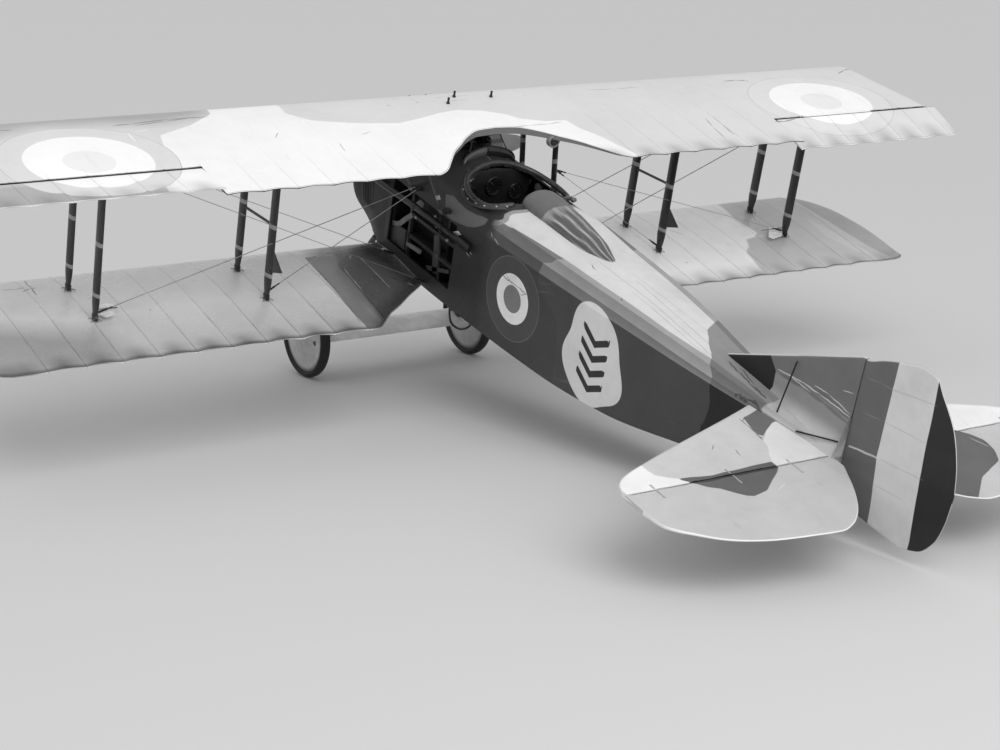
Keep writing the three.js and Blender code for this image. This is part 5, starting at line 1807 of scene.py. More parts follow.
def sided(shape, name, material, body="airframe", replaces=None, sharp=40, bodies=None):
    # the same piece to port and to starboard
    for side, mirror in (("port", False), ("starboard", True)):
        makePiece(f"{name}_{side}", moved(shape, mirror=mirror), material,
                  (bodies or "{}").format(side) if bodies else body,
                  replaces=f"{replaces}_{side}" if replaces else (), sharp=sharp)


# wires, strut ends and the fittings on the wings

fittings = {
    "wires": [((104, 83, -277), (755, 83)), ((104, 195, -283), (755, 195)),
              ((140, 212, -75), (431, 195, -265)), ((140, 212, -75), (752, 197, -265))],
    "wireHalf": 1.15, "wireFlat": 0.4, "endLong": 16,
    "endRadius": 1.9, "tieRadius": 0.9, "plateOval": (5.5, 9),
    "cap": (-103, 238, -4), "capRows": [[0.3, -5], [12.5, -5], [12.5, 3], [11.5, 4.4], [9.9, 4.6],
                                        [9.1, 2.6], [0.3, 3.0]],
    "lidRows": [[0.3, 2.2], [8.6, 2.2], [8.2, 3.6], [3, 4.2], [0.3, 4.3]],
    "pegs": [(-2, 48), (31, 80), (-75, 62)],
    "pegRows": [[3.4, -2], [3.4, 2.5], [2.2, 3.4], [2.0, 9], [2.6, 10.5], [1.6, 12], [0.4, 12.4]],
    "cranks": {"port": [(752, 196), (741, 169), (724, 163), (711, 168), (725, 206), (742, 210)],
               "starboard": [(741, 172), (706, 213), (713, 220), (744, 212), (764, 186), (757, 175)]},
    "crankPost": [[0.3, -9], [3.4, -9], [3.4, 3], [0.3, 3.6]],
    "rootPlate": ((111, 63), (120, 70)), "noseDots": [(88, -24, -277), (90, -62, -241), (101.5, -70, -202)],
    "tailRods": [((6, 1078, -22), (30, 1082, -116)), ((28, 1131, -112), (10, 1203, -95))],
    "straps": [(211, 1182, 1237), (98, 1188, 1242), (351, 1185, 1236)],
}


crankAlloy = plainFinish("crankAlloy", 236, 254, 0.3, 0.1, 70)
strapTape = plainFinish("strapTape", 150, 178, 0.55, 0, 40)


def makeWires():
    # flat wires from point to point; an end without a height takes the upper wing's;
    # a clamp and its tip at both ends
    f = fittings
    wires, ends = [], []
    for a, b in f["wires"]:
        b = b if len(b) == 3 else (b[0], b[1], wingUnder(b[1]) + 1)
        a, b = np.array(a, float), np.array(b, float)
        wires.append(rodShape([a, b], f["wireHalf"], f["wireFlat"], aim=(0, 0, 1)))
        run = (b - a) / np.linalg.norm(b - a)
        for spot, way in ((a, run), (b, -run)):
            clamp = spot + way * f["endLong"]
            ends.append(rodShape([spot, clamp], f["endRadius"]))
            ends.append(rodShape([clamp, spot + way * (f["endLong"] + 10)], 1.3))
    sided(joinShapes(wires), "rigging_wires", wireTape)
    sided(joinShapes(ends), "wire_ends", darkSteel)


def makeStrutEnds():
    # a collar, an oval plate and bound ties where each strut meets a wing
    f, s = fittings, strutForm
    plates, collars, ties = [], [], []
    section = teardrop(s["across"] + 0.6, s["along"] + 0.8)
    for x, (topY, footY) in [(s[row], s[end]) for row in ("outer", "inner") for end in ("front", "rear")]:
        top, foot = np.array((x, topY, wingUnder(topY))), np.array((x, footY, lowerTop(footY)))
        way = (top - foot) / np.linalg.norm(top - foot)
        for spot, run in ((foot, way), (top, -way)):
            path = [spot, spot + run * 5, spot + run * 10]
            collars.append(pathShape(path, [0.66, 0.74, 0.8], profile=section, aim=(0, 1, 0)))
        oval = circle(24) * f["plateOval"]
        plates.append(plateShape(oval + [x, footY], 1.6, 2, foot[2] + 0.6, 0.1))
        plates.append(plateShape(oval * [1, 1.3] + [x, topY], 2.0, 2, top[2] - 0.6, 0.1))
        for way in (1, -1):
            tie = [foot + (-9 * way, -7, 1.5), foot + (0, 0, 4.5), foot + (10 * way, 8, 1.6)]
            ties.append(rodShape(tie, f["tieRadius"]))
    for topY, footY in s["cabanes"].values():
        plates.append(plateShape(rounded((135, topY - 15), (165, topY + 15), 4), 2.4, 2,
                                 wingUnder(topY) - 0.6, 0.1))
    sided(joinShapes(plates), "strut_plates", boltSteel)
    sided(joinShapes(ties), "strut_ties", boltSteel)
    sided(joinShapes(collars), "strut_collars", paintedMetal("collarPaint", 44, None, 0.4, 0.2, 1.0, 170))


def makeWingFittings():
    # tank cap and pegs on top of the upper wing, aileron cranks with their rods and the root plates
    # on the lower wings
    f = fittings
    x, y, z = f["cap"]
    makePiece("tank_cap_ring", turnedShape(f["capRows"], f["cap"]),
              plainFinish("capAlloy", 120, 160, 0.4, 0.3, 60), sharp=40)
    lid = [turnedShape(f["lidRows"], f["cap"]),
           rodShape([(x - 6, y + 4.4, z + 2), (x + 5, y + 4.4, z - 2)], 1.1)]
    makePiece("tank_cap_centre", joinShapes(lid), blackPaint, sharp=40)
    pegs = [turnedShape(f["pegRows"], (px, py, wingTop(py)), 2, 14) for px, py in f["pegs"]]
    makePiece("wing_pegs", joinShapes(pegs), blackPaint, sharp=40)
    height = lowerTop(200) + 6
    for side, outline in f["cranks"].items():
        outline = np.array(outline, float)
        plate = plateShape(outline, 2.2, 2, height, 0.12)
        plate[0][:, 2] += 1.6 * np.sin(plate[0][:, 0] / 5.0) + 1.0 * np.sin(plate[0][:, 1] / 3.7) + 2.5
        post = turnedShape(f["crankPost"], (*outline.mean(0), height), 2, 16)
        crank = moved(joinShapes([plate, post]), mirror=side == "starboard")
        makePiece("aileron_crank_" + side, crank, crankAlloy, sharp=40)
        first, last = outline[:, 0].min() + 2, outline[:, 0].max() + 2
        rod = rodShape([(first, 187, height + 6), (last, 187, height + 7)], 1.3)
        makePiece("aileron_rod_" + side, moved(rod, mirror=side == "starboard"), boltSteel)
    (a, b), (c, d) = f["rootPlate"]
    plate = blockShape((a, b, lowerTop(66) - 1), (c, d, lowerTop(66) + 1.6), 2, 1.2, 0.1)
    sided(plate, "root_plate", brightAlloy)


def makeTailFittings():
    # studs on the nose, rods beside the fin, and straps over the elevator hinge: one half each side
    # of the gap
    f = fittings
    studs = [domeShape(np.subtract(d, (0.6, 0, 0)), 0, 2.6, 1.6) for d in f["noseDots"]]
    sided(joinShapes(studs), "nose_studs", boltSteel)
    sided(joinShapes([rodShape(r, 1.3) for r in f["tailRods"]]), "tail_rods", darkSteel)
    still, moving = [], []
    for x, y0, y1 in f["straps"]:
        still.append(rodShape([(x, y0 + 6, -116.2), (x, 1201.5, -115.9)], 1.2, 0.5))
        moving.append(rodShape([(x, 1207, -115.7), (x, y1 - 8, -116.6 - (y1 - 1207) * 0.004)], 1.2, 0.5))
    still += [domeShape((x, y0 + 8, -116.2), 2, 1.8, 1.3) for x, y0, y1 in f["straps"]]
    moving += [domeShape((x, y1 - 10, -116.6), 2, 1.8, 1.3) for x, y0, y1 in f["straps"]]
    sided(joinShapes(still), "hinge_straps", strapTape)
    sided(joinShapes(moving), "elevator_straps", strapTape, "elevator")


makeWires()
makeStrutEnds()
makeWingFittings()
makeTailFittings()
print("wires and fittings made")


# cockpit: flange, inside, screen and guns

cockpit = {
    "flange": [(60, 236, -64), (80, 243, -71), (91, 256, -77), (96, 280, -84), (96, 310, -81),
               (95, 332, -76), (84, 354, -69), (70, 366, -65)],
    "studs": [(91, 256, -75), (96, 281, -82), (96.5, 308, -79), (95, 332, -74), (85, 354, -67),
              (71, 366, -63)],
    "panel": [(-81, -200), (81, -200), (81, -84), (44, -62), (0, -58), (-44, -62), (-81, -84)],
    "dials": [(-50, -106, 16), (0, -92, 18), (50, -106, 16), (-28, -146, 13), (30, -146, 13)],
    "wallDials": [(-96.5, 192, -98, 9), (-96.5, 228, -100, 9)],
    "seatHalf": (50, 43), "seatCentre": (0, 307), "seatLow": -240, "seatHigh": -152, "seatBack": -106,
    "screen": [(150, 18, 2), (160, 32, 12), (170, 42, 19), (178, 48, 22)], "deck": -52,
    "arch": {"half": 56, "foot": -58, "rise": 29, "front": 181, "back": 11},
    "panes": {"port": (2, 89), "starboard": (91, 178)},
    "hook": [(-82, 352, -72), (-80, 358, -68), (-74, 364, -64), (-66, 369, -61)],
    "cushion": ((0, 305, -222), (40, 33, 13)), "backPad": ((0, 341, -150), (32, 7, 34)),
    "belt": [(1, 350, -104), (1, 340, -108), (1, 330, -150), (0.9, 318, -196), (0.7, 296, -207)],
    "beltAt": 17,
    "stick": [(0, 232, -293), (0, 236, -186)], "grip": (0, 238, -170), "gripRadius": 15,
}
gun = {
    "at": 18, "axis": -28, "receiver": (90, 150, -38, -19), "slots": 2.2, "jacket": 60, "muzzle": -60,
    "handle": [(0, 108, -20), (0, 112, -12), (0, 118, -9)],
    "back": [[0.4, 150], [5, 150], [6, 156], [3, 163], [0.4, 164]],
}


def archRows(rows, base, drop):
    # half rounds over the deck, each row a length, half width and height
    y = np.linspace(rows[0][0], rows[-1][0], 24)
    w, h = (band[:, None] for band in bandsThrough(rows, y))
    t = np.radians(np.linspace(0, 180, 41))[None]
    x = w * np.cos(t)
    z = base + h * np.sin(t) ** 0.8 - drop * (x / 60) ** 2
    top = np.stack([x, np.broadcast_to(y[:, None], x.shape), z], -1)
    low = top[:, ::-1] - [0, 0, 4]
    return outward(gridShape(np.concatenate([top, low], 1), True, caps=(True, True)))


def archLine(t):
    # the upper edge of the screen over the deck, and its foot on the deck below
    a = cockpit["arch"]
    x = a["half"] * np.cos(t)
    y = a["front"] + a["back"] * np.abs(np.cos(t))
    edge = np.stack([x, y, a["foot"] + a["rise"] * np.sin(t) ** 0.75], -1)
    foot = np.stack([x, y, np.interp(np.abs(x), [0, 45, 56], [-49, -53, -61])], -1)
    return edge, foot


def seatBucket():
    # rings up the outside and down the inside; the rim rises to the back
    f = cockpit
    t = np.linspace(0, 2 * np.pi, 64, endpoint=False)
    around = np.stack([np.cos(t), np.sin(t)], -1)
    rim = f["seatHigh"] + (f["seatBack"] - f["seatHigh"]) * smoothStep(0.2, 0.9, around[:, 1])
    rings = []
    for share, inset in ((0, 6), (0.05, 1), (0.5, 0), (1, 0), (1.02, 1.5), (1, 3), (0.5, 3), (0.08, 4),
                         (0.05, 9)):
        size = np.array(f["seatHalf"]) - inset - 5 * (1 - min(share, 1)) ** 2
        ring = np.zeros((64, 3))
        ring[:, :2] = np.array(f["seatCentre"]) + around * size
        ring[:, 2] = f["seatLow"] + (rim - f["seatLow"]) * share
        rings.append(ring)
    stand = [rodShape([(x, y, -294), (x * 0.86, y, -238)], 4.5) for x in (-38, 38) for y in (278, 334)]
    return joinShapes([outward(gridShape(np.array(rings), True, caps=(True, True)))] + stand)


def dialShapes(x, z, r, y=217):
    # a turned rim, and ticks 30 degrees apart on a circle inside it with one pointer
    rim = turnedShape([[0.4, 0], [r, 0], [r, 3.2], [r - 1.2, 4], [r - 2.6, 3.4], [r - 3, 1.8], [0.4, 1.8]],
                      (x, y, z), 1, 28)
    ticks = []
    for a in np.radians(np.arange(-135, 136, 30)):
        inner, outer = [(x + (r - gap) * math.sin(a), y + 2, z + (r - gap) * math.cos(a))
                        for gap in (5.5, 3.6)]
        ticks.append(rodShape([inner, outer], 0.5, sides=6))
    ticks.append(rodShape([(x, y + 2.6, z), (x + (r - 5) * 0.6, y + 2.6, z + (r - 5) * 0.7)], 0.6, sides=6))
    return rim, joinShapes(ticks)


def makeSurround():
    # a flat flange under the coaming with studs, and a hooked end to starboard
    f = cockpit
    flange = rodShape(f["flange"], 4.6, 0.2, 60, (0.55, 0, 0.83), 12)
    sided(flange, "coaming_flange", paintedMetal("flangePaint", 62, None, 0.4, 0.1, 1.0, 150))
    sided(joinShapes([domeShape(s, 2, 2.3, 1.8) for s in f["studs"]]), "flange_studs", boltSteel)
    makePiece("coaming_hook", rodShape(f["hook"], 4.6, 0.8, 24),
              plainFinish("hookMetal", 80, 110, 0.35, 0.3, 40))


def makePanel():
    # the board with its dials, and two gauges on the starboard wall
    f = cockpit
    # the board, rims and marks are darkened as painted shade of the cockpit; the wall gauges are opaque
    # light grey as a painted reflection on their glass
    wood = plainFinish("dashWood", 20, 34, 0.4, 0, 16, (0.4, 3, 3), 0.2)
    makePiece("dash_board", plateShape(f["panel"], 5, 1, 214.5, 0.04), wood, replaces="instrument_panel",
              sharp=40)
    rims, ticks = zip(*[dialShapes(*d) for d in f["dials"]])
    makePiece("dial_rims", joinShapes(rims), plainFinish("dialRim", 20, 36, 0.3, 0.4, 50),
              sharp=40)
    makePiece("dial_marks", joinShapes(ticks), plainFinish("dialMarksShaded", 58, 84, 0.5, 0, 50))
    walls = [turnedShape([[0.4, 0], [r, 0], [r, 4], [r - 2, 5], [0.4, 4.6]], (x, y, z), 0, 24) for x, y, z,
             r in f["wallDials"]]
    glass = plainFinish("gaugeGlass", 110, 150, 0.25, 0, 50)
    makePiece("wall_gauges", joinShapes(walls), glass, sharp=40)


def makeSeat():
    # the bucket with two pads, belts that follow them down, and the stick with its ring grip
    f = cockpit
    # the seat wood and the cushion leather are darkened as painted shade of the cockpit
    wood = plainFinish("seatWood", 22, 36, 0.5, 0, 14, (2, 2, 0.4))
    makePiece("seat_bucket", seatBucket(), wood, replaces="seat", sharp=40)
    cushionLeather = leather("cushionLeather", 24, 42)
    base = makePiece("seat_cushion", cushionShape(*f["cushion"], 1), cushionLeather)
    back = makePiece("seat_back_pad", cushionShape(*f["backPad"], 1, axis=1), cushionLeather)
    belts = [rodShape([(share * at, y, z) for share, y, z in f["belt"]], 9, 0.09, 40, (0, 1, 0.2), 12)
             for at in (-f["beltAt"], f["beltAt"])]
    makePiece("seat_belts", joinShapes(belts), plainFinish("beltWeb", 50, 74, 0.7, 0, 60))
    ring = f["grip"] + circle(32)[:, [0, 0, 1]] * [f["gripRadius"], 0, f["gripRadius"]]
    stick = joinShapes([rodShape(f["stick"], 4.2), pathShape(ring, 3.2, 10, aim=(0, 1, 0), closed=True)])
    makePiece("control_stick", stick, blackPaint, sharp=50)


def makeScreen():
    # a low shell on the deck; two panes bowed between the foot line and the arch, with a frame and stays
    f = cockpit
    screenSteel = paintedMetal("screenPaint", 30, None, 0.22, 0.1, 0.3, 90)
    makePiece("screen_shell", archRows(f["screen"], f["deck"], 6), screenSteel, replaces="windscreen",
              sharp=50)
    # the panes are opaque: the port one grey and the starboard one dark and glossy, as painted reflections
    paints = {"port": paintedMetal("paneGreyReflection", 84, None, 0.14, 0.0, 0.2, 120),
              "starboard": paintedMetal("paneDarkReflection", 34, None, 0.1, 0.0, 0.2, 90)}
    for side, (low, high) in f["panes"].items():
        edge, foot = archLine(np.radians(np.linspace(low, high, 30)))
        t = np.array([0, 0.25, 0.5, 0.75, 1.0])[None, :, None]
        face = foot[:, None] * (1 - t) + edge[:, None] * t
        face = face + np.array([0, 1, 0]) * (3.5 * np.sin(np.pi * t))
        ring = np.concatenate([face, face[:, ::-1] - [0, 1.2, 0]], 1)
        pane = outward(gridShape(ring, True, caps=(True, True)))
        makePiece(f"screen_pane_{side}", pane, paints[side], sharp=40)
    edge, foot = archLine(np.radians(np.linspace(1, 179, 61)))
    rim = pathShape(edge + [0, 0.6, 0], 1.5, 10, aim=(0, 1, 0))
    post = rodShape([edge[30], foot[30]], 1.4)
    stays = [rodShape([(sign * 40, 186, -36), (sign * 28, 170, -8)], 1.1) for sign in (1, -1)]
    makePiece("screen_frame", joinShapes([rim, post] + stays), blackPaint, sharp=60)


def makeGuns():
    # receivers, slotted barrel jackets and cocking handles, port and starboard of the centre line
    g = gun
    shapes = []
    y0, y1, z0, z1 = g["receiver"]
    for x in (-g["at"], g["at"]):
        shapes.append(blockShape((x - 7, y0, z0), (x + 7, y1, z1), 0, 2.5, 0.08))
        y = np.linspace(-70, 92, 82)
        r = np.where(y < g["jacket"], 4.6 + 0.5 * (np.sin(y / g["slots"]) > 0), 5.4)
        r = np.where(y < g["muzzle"], 3.2, r)
        shapes.append(turnedShape(np.stack([r, y], -1), (x, 0, g["axis"]), 1, 20))
        shapes.append(rodShape(np.add(g["handle"], (x, 0, 0)), 2.2, 1, 16))
        shapes.append(turnedShape(g["back"], (x, 0, g["axis"]), 1, 16))
        shapes.append(blockShape((x - 2.2, 80, -20), (x + 2.2, 92, -14), 0, 1, 0.1))
    base = blockShape((-34, 62, -50), (34, 150, -37), 2, 6, 0.06)
    makePiece("gun_pair", joinShapes(shapes + [base]),
              paintedMetal("gunSteel", 34, None, 0.3, 0.6, 0.8, 96), replaces="guns",
              sharp=35)


makeSurround()
makePanel()
makeSeat()
makeScreen()
makeGuns()
print("cockpit and guns made")


# open bay on the port side, and the exhaust pipes

bay = {
    "at": 87.5, "upright": [(194, -150), (217, -293)], "tray": ((22, 99, -232), (91, 188, -229)),
    "dark": [[(27, -280), (43, -285), (41, -191), (25, -214)],
             [(98, -294), (105, -294), (105, -122), (98, -122)],
             [(258, -294), (265, -294), (265, -122), (258, -122)],
             [(98, -192), (265, -192), (265, -185), (98, -185)],
             [(98, -234), (265, -234), (265, -227), (98, -227)]],
    "mid": [[(39, -239), (66, -228), (93, -226), (95, -266), (46, -267)],
            [(188, -194), (204, -187), (210, -223), (193, -228)],
            [(192, -228), (210, -223), (214, -262), (198, -266)],
            [(174, -261), (249, -237), (250, -244), (180, -268)]],
    "light": [[(100, -246), (152, -241), (149, -250), (102, -253)],
              [(111, -163), (126, -150), (140, -151), (132, -166)]],
    "brace": [(44, -232), (62, -227), (84, -208), (106, -189)],
    "plate": [(244, -163), (280, -144), (291, -147), (261, -164)],
    "bolts": [(3.5, 182, -159), (18.5, 251, -175), (3.5, 190, -176), (3.5, 120, -189)],
    "box": ((-60, 66, -290), (60, 196, -132)),
}
exhaustPipe = {"path": [(84, -62, -154), (96, -52, -158), (108, -38, -161), (111, -10, -160),
                        (111, 119, -156.5), (111, 250, -156), (111, 330, -158)], "radius": 6,
               "flatFrom": 262, "flatTo": 300, "clamps": (20, 140, 236)}


def makeBay():
    # flat frames in the plane of the missing panel, by tone, with an upright, a tray and a bent brace
    f = bay
    tones = {"dark": (30, 46, 7, 0), "mid": (52, 72, 4, 2.5), "light": (104, 136, 4, 2.5)}
    for name, (low, high, thick, out) in tones.items():
        plates = [plateShape(o, thick, 0, f["at"] + out, 0.04) for o in f[name]]
        if name == "dark":
            plates.append(rodShape([(f["at"], y, z) for y, z in f["upright"]], 3.2))
            plates.append(blockShape(*f["tray"], 2, 3, 0.04))
        if name == "light":
            plates.append(rodShape([(f["at"] + 3, y, z) for y, z in f["brace"]], 5.5, 0.25, 24, (1, 0, 0)))
        wood = plainFinish(f"bay{name.title()}", low, high, 0.55, 0, 24, (2, 2, 0.5))
        makePiece(f"bay_{name}_frames", joinShapes(plates), wood,
                  replaces="bay_frame" if name == "dark" else (), sharp=35)
    makePiece("bay_bright_plate", plateShape(f["plate"], 1.4, 0, 105.5, 0.05), brightAlloy,
              sharp=40)
    bolts = [domeShape((f["at"] + x, y, z), 0, 3.2, 3) for x, y, z in f["bolts"]]
    makePiece("bay_bolts", joinShapes(bolts), boltSteel)
    # a magazine box, near black as painted shade, that closes the view through the bay
    tin = plainFinish("magazineTin", 12, 22, 0.6, 0.1, 20)
    makePiece("magazine_box", blockShape(*f["box"], 0, 8, 0.03), tin, sharp=35)


def makeExhaust():
    # a round pipe whose tail is pressed flat, with clamps round it
    f = exhaustPipe
    path = smoothPath(f["path"], 130)
    p, faces, marks = pathShape(path, f["radius"], 20, aim=(0, 0, 1))
    k = smoothStep(f["flatFrom"], f["flatTo"], p[:, 1])
    middle = np.stack([np.interp(p[:, 1], path[:, 1], path[:, c]) for c in range(3)], -1)
    p[:, 0] = middle[:, 0] + (p[:, 0] - middle[:, 0]) * (1 - 0.55 * k)
    p[:, 2] = middle[:, 2] + (p[:, 2] - middle[:, 2]) * (1 + 0.42 * k)
    shapes = [(p, faces, marks)]
    low, high = f["radius"] - 0.6, f["radius"] + 0.9
    for y in f["clamps"]:
        z = float(np.interp(y, path[:, 1], path[:, 2]))
        shapes.append(turnedShape([[low, y - 4], [high, y - 4], [high, y + 4], [low, y + 4]], (111, 0, z),
                                  1, 20))
        shapes.append(blockShape((102, y - 3, z - 2), (108, y + 3, z + 2), 0, 1, 0.1))
    sided(joinShapes(shapes), "exhaust_pipe", paintedMetal("exhaustSteel", 36, None, 0.3, 0.5, 0.3, 110),
          replaces="exhaust", sharp=35)


makeBay()
makeExhaust()
print("bay and exhaust made")


# wheels, legs, skid, step, radiator and propeller

gear = {
    "centre": (187, -55, -505), "tyre": (75.2, 6.9, 10.5), "leg": (4, 9), "fairing": 164.5, "rod": 5,
    "front": [(92, -8, -284.3), (158, -61, -503)], "rear": [(95, 150, -284.3), (158, -47, -503)],
    "disc": [(0.4, 17), (5, 17), (6, 16), (6, 13.4), (9, 13.2), (20, 12.2), (34, 10.4), (50, 8), (62, 6),
             (68, 5), (70, 5.6), (70, -5.6), (68, -5), (62, -6), (50, -8), (34, -10.4), (20, -12.2),
             (9, -13.2), (0.4, -13.4)],
    "wires": [(154, -20, -494), (92, -2, -292)], "wrap": (150, 168),
}
skid = {
    "path": [(0, 1096, -196), (0, 1136, -228), (0, 1172, -252)],
    "shoe": [[5.4, -9], [7, -8], [7, 8], [5.4, 9]],
    "strap": [(0, 1160, -246), (0, 1172, -260), (0, 1179, -252)], "turns": (0, 3.4, 6.8, 10.2),
    "step": [(92, 272, -290), (93.6, 276, -310), (94, 286, -325), (94, 299, -327), (94, 312, -325),
             (93, 340, -308), (92, 352, -290)],
}
screw = {"centre": (0, -132, -189), "tilt": 4,
         "rows": [[16, 30, 62, 22], [60, 38, 50, 14], [120, 50, 36, 10], [190, 54, 27, 8], [250, 46, 22, 6],
                  [290, 32, 19, 4.5], [305, 22, 18, 3.6], [311, 9, 18, 2.4]], "bolts": 8, "boltRing": 17}


def clothCover():
    # doped cloth over spokes: faint radial ridges and a patch over the valve
    spokeWave = lambda tree: sums(tree, "SINE", times(tree, mark(tree, "spoke"), 20))

    def base(tree):
        colour = blendColour(tree, mottle(tree, 12, 4, 0.6), grey(178), grey(212))
        colour = blendColour(tree, times(tree, span(tree, spokeWave(tree), 0.86, 1.0), 0.2), colour,
                             grey(110))
        colour = blendColour(tree, span(tree, mark(tree, "valveMm"), 8.5, 7.5), colour, grey(60))
        colour = blendColour(tree, span(tree, mark(tree, "radiusMm"), 62, 67), colour, grey(120))
        return smudged(tree, colour, 16, 0.5, 140)

    surface = lambda tree: bump(tree, plus(tree, spokeWave(tree), clouds(tree, 40, 3)), 0.0006, 0.5)
    return newMaterial("wheelCover", base, mottled(20, 3, 0.5, 0.5, 0.66), 0, 0.05, surface)


def wheelDisc():
    # a turned disc; the marks are angle and radius about the axle and the distance to the valve patch
    p, faces, marks = turnedShape(gear["disc"], gear["centre"], 0, 64)
    local = p - np.array(gear["centre"])
    marks["spoke"] = np.abs(np.arctan2(local[:, 1], local[:, 2]))
    marks["valveMm"] = np.hypot(local[:, 1] - 44, local[:, 2] - 6)
    marks["radiusMm"] = np.hypot(local[:, 1], local[:, 2])
    return p, faces, marks


def tyreShape():
    # an oval section carried round the wheel, with shallow tread grooves
    r, high, wide = gear["tyre"]
    a = np.linspace(0, 2 * np.pi, 96, False)
    ring = np.stack([np.zeros(96), np.sin(a), np.cos(a)], -1)
    t = np.arange(28) * 2 * np.pi / 28
    groove = 1 - 0.035 * (np.cos(t * 14) > 0.4) * (np.sin(t) > 0.5)
    profile = np.stack([wide * np.cos(t), high * np.sin(t)], -1) * groove[:, None]
    return outward(pathShape(np.array(gear["centre"]) + ring * r, 1, profile=profile, aim=ring, closed=True))


def makeGear():
    # wheels, legs and the fairing that hides the axle;
    # the wrap's radius waves along the axle, and wires cross behind
    f = gear
    rubber = paintedMetal("tyreRubber", 34, None, 0.75, 0, 0.5, 80)
    sided(wheelDisc(), "wheel_cover", clothCover(), replaces="wheel", sharp=50,
          bodies="wheel_{}")
    sided(tyreShape(), "wheel_tyre", rubber, replaces="tyre", sharp=50, bodies="wheel_{}")
    cy, cz = f["centre"][1:]
    foot = unbanded(blockShape((151, cy - 14, cz - 6), (165, cy + 18, cz + 12), 0, 5, 0.1))
    legs = [strutShape(*f["front"], *f["leg"]), strutShape(*f["rear"], *f["leg"]), foot]
    sided(joinShapes(legs), "gear_leg_wood", strutWood, replaces="gear_leg")
    x = np.linspace(*f["wrap"], 46)
    wrap = np.stack([9.6 + 1.5 * np.abs(np.sin((x - 150) / 18 * np.pi * 5)), x], -1)
    wrap[0, 0] = wrap[-1, 0] = 5.5
    cord = plainFinish("cordWrap", 150, 190, 0.75, 0, 90)
    sided(turnedShape(wrap, (0, cy, cz), 0, 24), "shock_wrap", cord, sharp=60)
    path = np.linspace((-f["fairing"], -52.0, cz), (f["fairing"], -52.0, cz), 31)
    body = pathShape(path, 1, profile=teardrop(8, 35, 36), aim=(0, 1, 0))
    rod = rodShape([(-173.5, cy, cz), (173.5, cy, cz)], f["rod"], sides=20)
    makePiece("axle_fairing", joinShapes([body, rod]),
              paintedMetal("fairingPaint", 252, None, 0.45, 0, 0.4, 150), replaces="axle",
              sharp=50)
    low, high = f["wires"]
    brace = [rodShape([np.multiply(low, (way, 1, 1)), np.multiply(high, (-way, 1, 1))], 1.1)
             for way in (1, -1)]
    makePiece("gear_wires", joinShapes(brace), wireTape)


def makeSkidAndStep():
    # a tapered leg with a shoe and four turns of cloth round it, and the step as one bent rod
    f = skid
    leg = pathShape(smoothPath(f["path"], 30), np.linspace(6.4, 4.2, 30), 16, aim=(0, 1, 1))
    shoe = turnedShape(f["shoe"], (0, 1172, -254), 0, 24)
    strap = rodShape(f["strap"], 4.6, 0.35, 20, (1, 0, 0))
    loop = circle(24) @ [[7.6, 0, 0], [0, 3, 6]] + (0, 1108, -204)
    turns = [pathShape(loop + (0, d, -0.8 * d), 1.7, 8, aim=(0, 1, -0.8), closed=True) for d in f["turns"]]
    ash = plainFinish("skidAsh", 84, 118, 0.5, 0, 20, (3, 0.4, 0.4), 0.1)
    makePiece("skid_leg", leg, ash, replaces="tail_skid", sharp=50)
    makePiece("skid_shoe", joinShapes([shoe, strap]), darkSteel, sharp=40)
    makePiece("skid_wrap", joinShapes(turns), plainFinish("skidWrapCloth", 150, 190, 0.75, 0, 90))
    makePiece("boarding_step", rodShape(f["step"], 2, 1, 60), darkSteel, replaces="step_port")


def coreMaterial():
    # a fine honeycomb: dark cells, light where the gap to the next cell is small
    def gap(tree):
        links = {"Vector": place(tree), "Scale": 230}
        return addNode(tree, "ShaderNodeTexVoronoi", links, feature="DISTANCE_TO_EDGE").outputs["Distance"]

    def base(tree):
        colour = blendColour(tree, span(tree, gap(tree), 0.02, 0.12), grey(120), grey(22))
        return smudged(tree, colour, 12, 0.5, 120)

    surface = lambda tree: bump(tree, gap(tree), 0.001, 0.7)
    return newMaterial("radiatorCore", base, mottled(30, 3, 0.5, 0.4, 0.6), 0.5, 0, surface)


def makeRadiator():
    # a round core with upright vanes across it; each vane's half height is that of the circle at its x
    x, z = screw["centre"][0], screw["centre"][2]
    core = turnedShape([[0.4, -110], [80, -110], [84, -109], [84, -106], [0.4, -106]], (x, 0, z), 1, 64)
    makePiece("radiator_core", core, coreMaterial(), replaces="radiator", sharp=40)
    vanes = []
    for across in (-62, -37, -12, 12, 37, 62):
        tall = math.sqrt(82 ** 2 - across ** 2) - 3
        vane = blockShape((across - 1.4, -118, z - tall), (across + 1.4, -110, z + tall), 0, 1.2, 0.2)
        vanes.append(moved(vane, turn=(2, 12, np.array([across, -114, z]))))
        vanes.append(rodShape([(across, -114, z - tall - 2), (across, -114, z + tall + 2)], 1.2))
    alloy = paintedMetal("shutterAlloy", 150, None, 0.4, 0.5, 0.8, 90)
    makePiece("radiator_shutters", joinShapes(vanes), alloy, sharp=40)
    shaft = turnedShape([[8, -110], [8, -121], [7.4, -121.4], [0.4, -121.4]], (x, 0, z), 1, 24)
    makePiece("propeller_shaft", shaft, darkSteel, sharp=40)


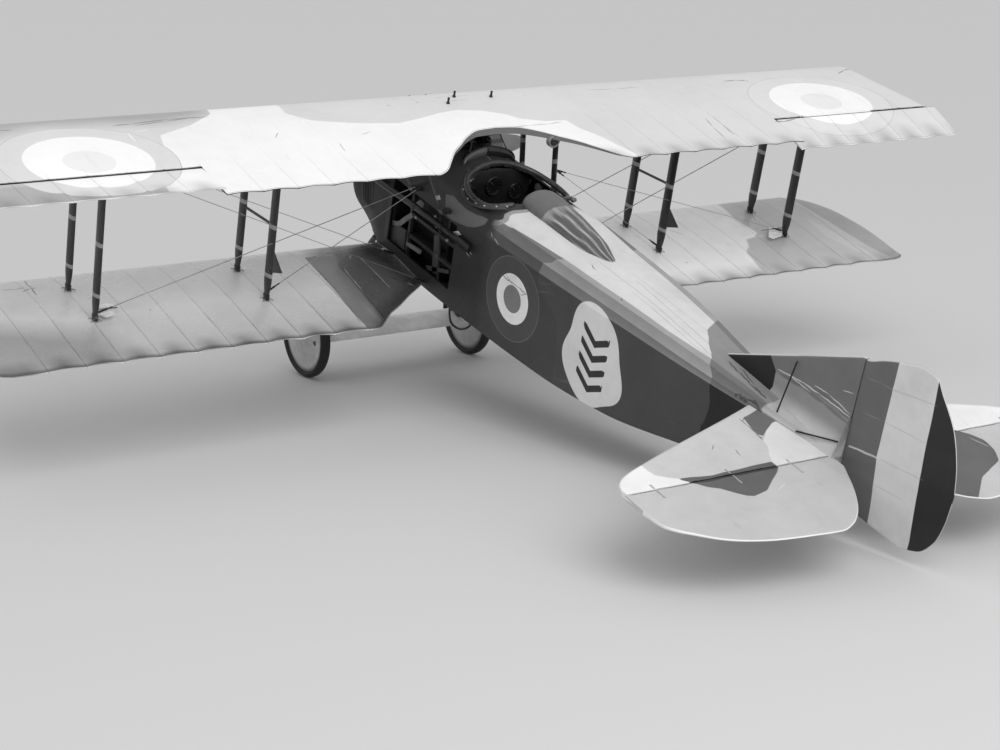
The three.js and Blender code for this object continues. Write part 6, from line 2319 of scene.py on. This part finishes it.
def bladeShape(way):
    # sections through smooth rows of radius, chord, twist and thickness, each a cambered oval
    f = screw
    r = np.concatenate([np.linspace(6, 290, 64), np.linspace(293, 311, 12)])
    chord, twist, thick = bandsThrough(f["rows"], np.clip(r, 16, 311))
    cos, sin = circle(28).T
    u = 0.5 * cos[None] * chord[:, None]
    w = np.where(sin > 0, 0.5 * sin, 0.28 * sin)[None] * thick[:, None]
    t = np.radians(twist)[:, None]
    y0, z0 = f["centre"][1:]
    p = np.stack([np.broadcast_to(way * r[:, None], u.shape), y0 + way * u * np.sin(t) - w * np.cos(t),
                  z0 + u * np.cos(t) + way * w * np.sin(t)], -1)
    marks = {"layerMm": p[..., 1] - y0, "reachMm": np.broadcast_to(r[:, None], u.shape)}
    return outward(gridShape(p, True, marks=marks, caps=(True, True)))


def screwWood():
    # glued layers of two woods, grain along the blade, brass sheath towards the tip
    def base(tree):
        vector = addNode(tree, "ShaderNodeMapping", {"Vector": place(tree), "Scale": (0.6, 6, 6)}).outputs[0]
        grain = useGroup(tree, woodGrain, {"Vector": vector, "Scale": 16})
        wave = sums(tree, "SINE", times(tree, mark(tree, "layerMm"), 2 * math.pi / 7))
        colour = blendColour(tree, span(tree, wave, -0.15, 0.15), grey(74), grey(112))
        colour = blendColour(tree, times(tree, grain["Figure"], 0.4), colour, grey(58))
        sheath = painted(tree, minus(tree, 262, mark(tree, "reachMm")), 0, 0.5, 0.3)
        colour = blendColour(tree, sheath, colour, grey(136))
        return blendColour(tree, times(tree, wornMask(tree, 70, 0.6), 0.4), colour, grey(140))

    surface = rippled(60, 3, 0.55, 0.0003, 0.4, (0.4, 3, 3))
    return newMaterial("screwWood", base, mottled(18, 3, 0.5, 0.28, 0.44), 0, 0.3, surface)


def makePropeller():
    # two blades and the hub's wood as one piece, and a front plate with a ring of bolts
    f = screw
    centre = np.array(f["centre"], float)
    hub = turnedShape([[9, 11], [24, 11], [26, 8], [26, -8], [24, -11], [9, -12]], f["centre"], 1, 48)
    hub[2]["layerMm"] = hub[0][:, 1] - centre[1]
    hub[2]["reachMm"] = np.zeros(len(hub[0]))
    wood = moved(joinShapes([bladeShape(1), bladeShape(-1), hub]), turn=(1, f["tilt"], centre))
    makePiece("propeller_wood", wood, screwWood(), "propeller", "propeller", sharp=40)
    plate = turnedShape([[22, -11.5], [22, -13.4], [9.4, -13.6], [9, -18], [4, -18.6], [0.4, -18.6]],
                        f["centre"], 1, 40)
    bolts = [turnedShape([[2.6, -13], [2.6, -15.4], [1.4, -16], [0.4, -16]],
                         centre + [f["boltRing"] * math.cos(a), 0, f["boltRing"] * math.sin(a)], 1, 6)
             for a in np.arange(f["bolts"]) * 2 * np.pi / f["bolts"]]
    makePiece("propeller_hub", joinShapes([plate] + bolts), plainFinish("hubSteel", 90, 130, 0.35, 0.7, 40),
              "propeller", sharp=30)


makeGear()
makeSkidAndStep()
makeRadiator()
makePropeller()
print("gear, radiator and propeller made")
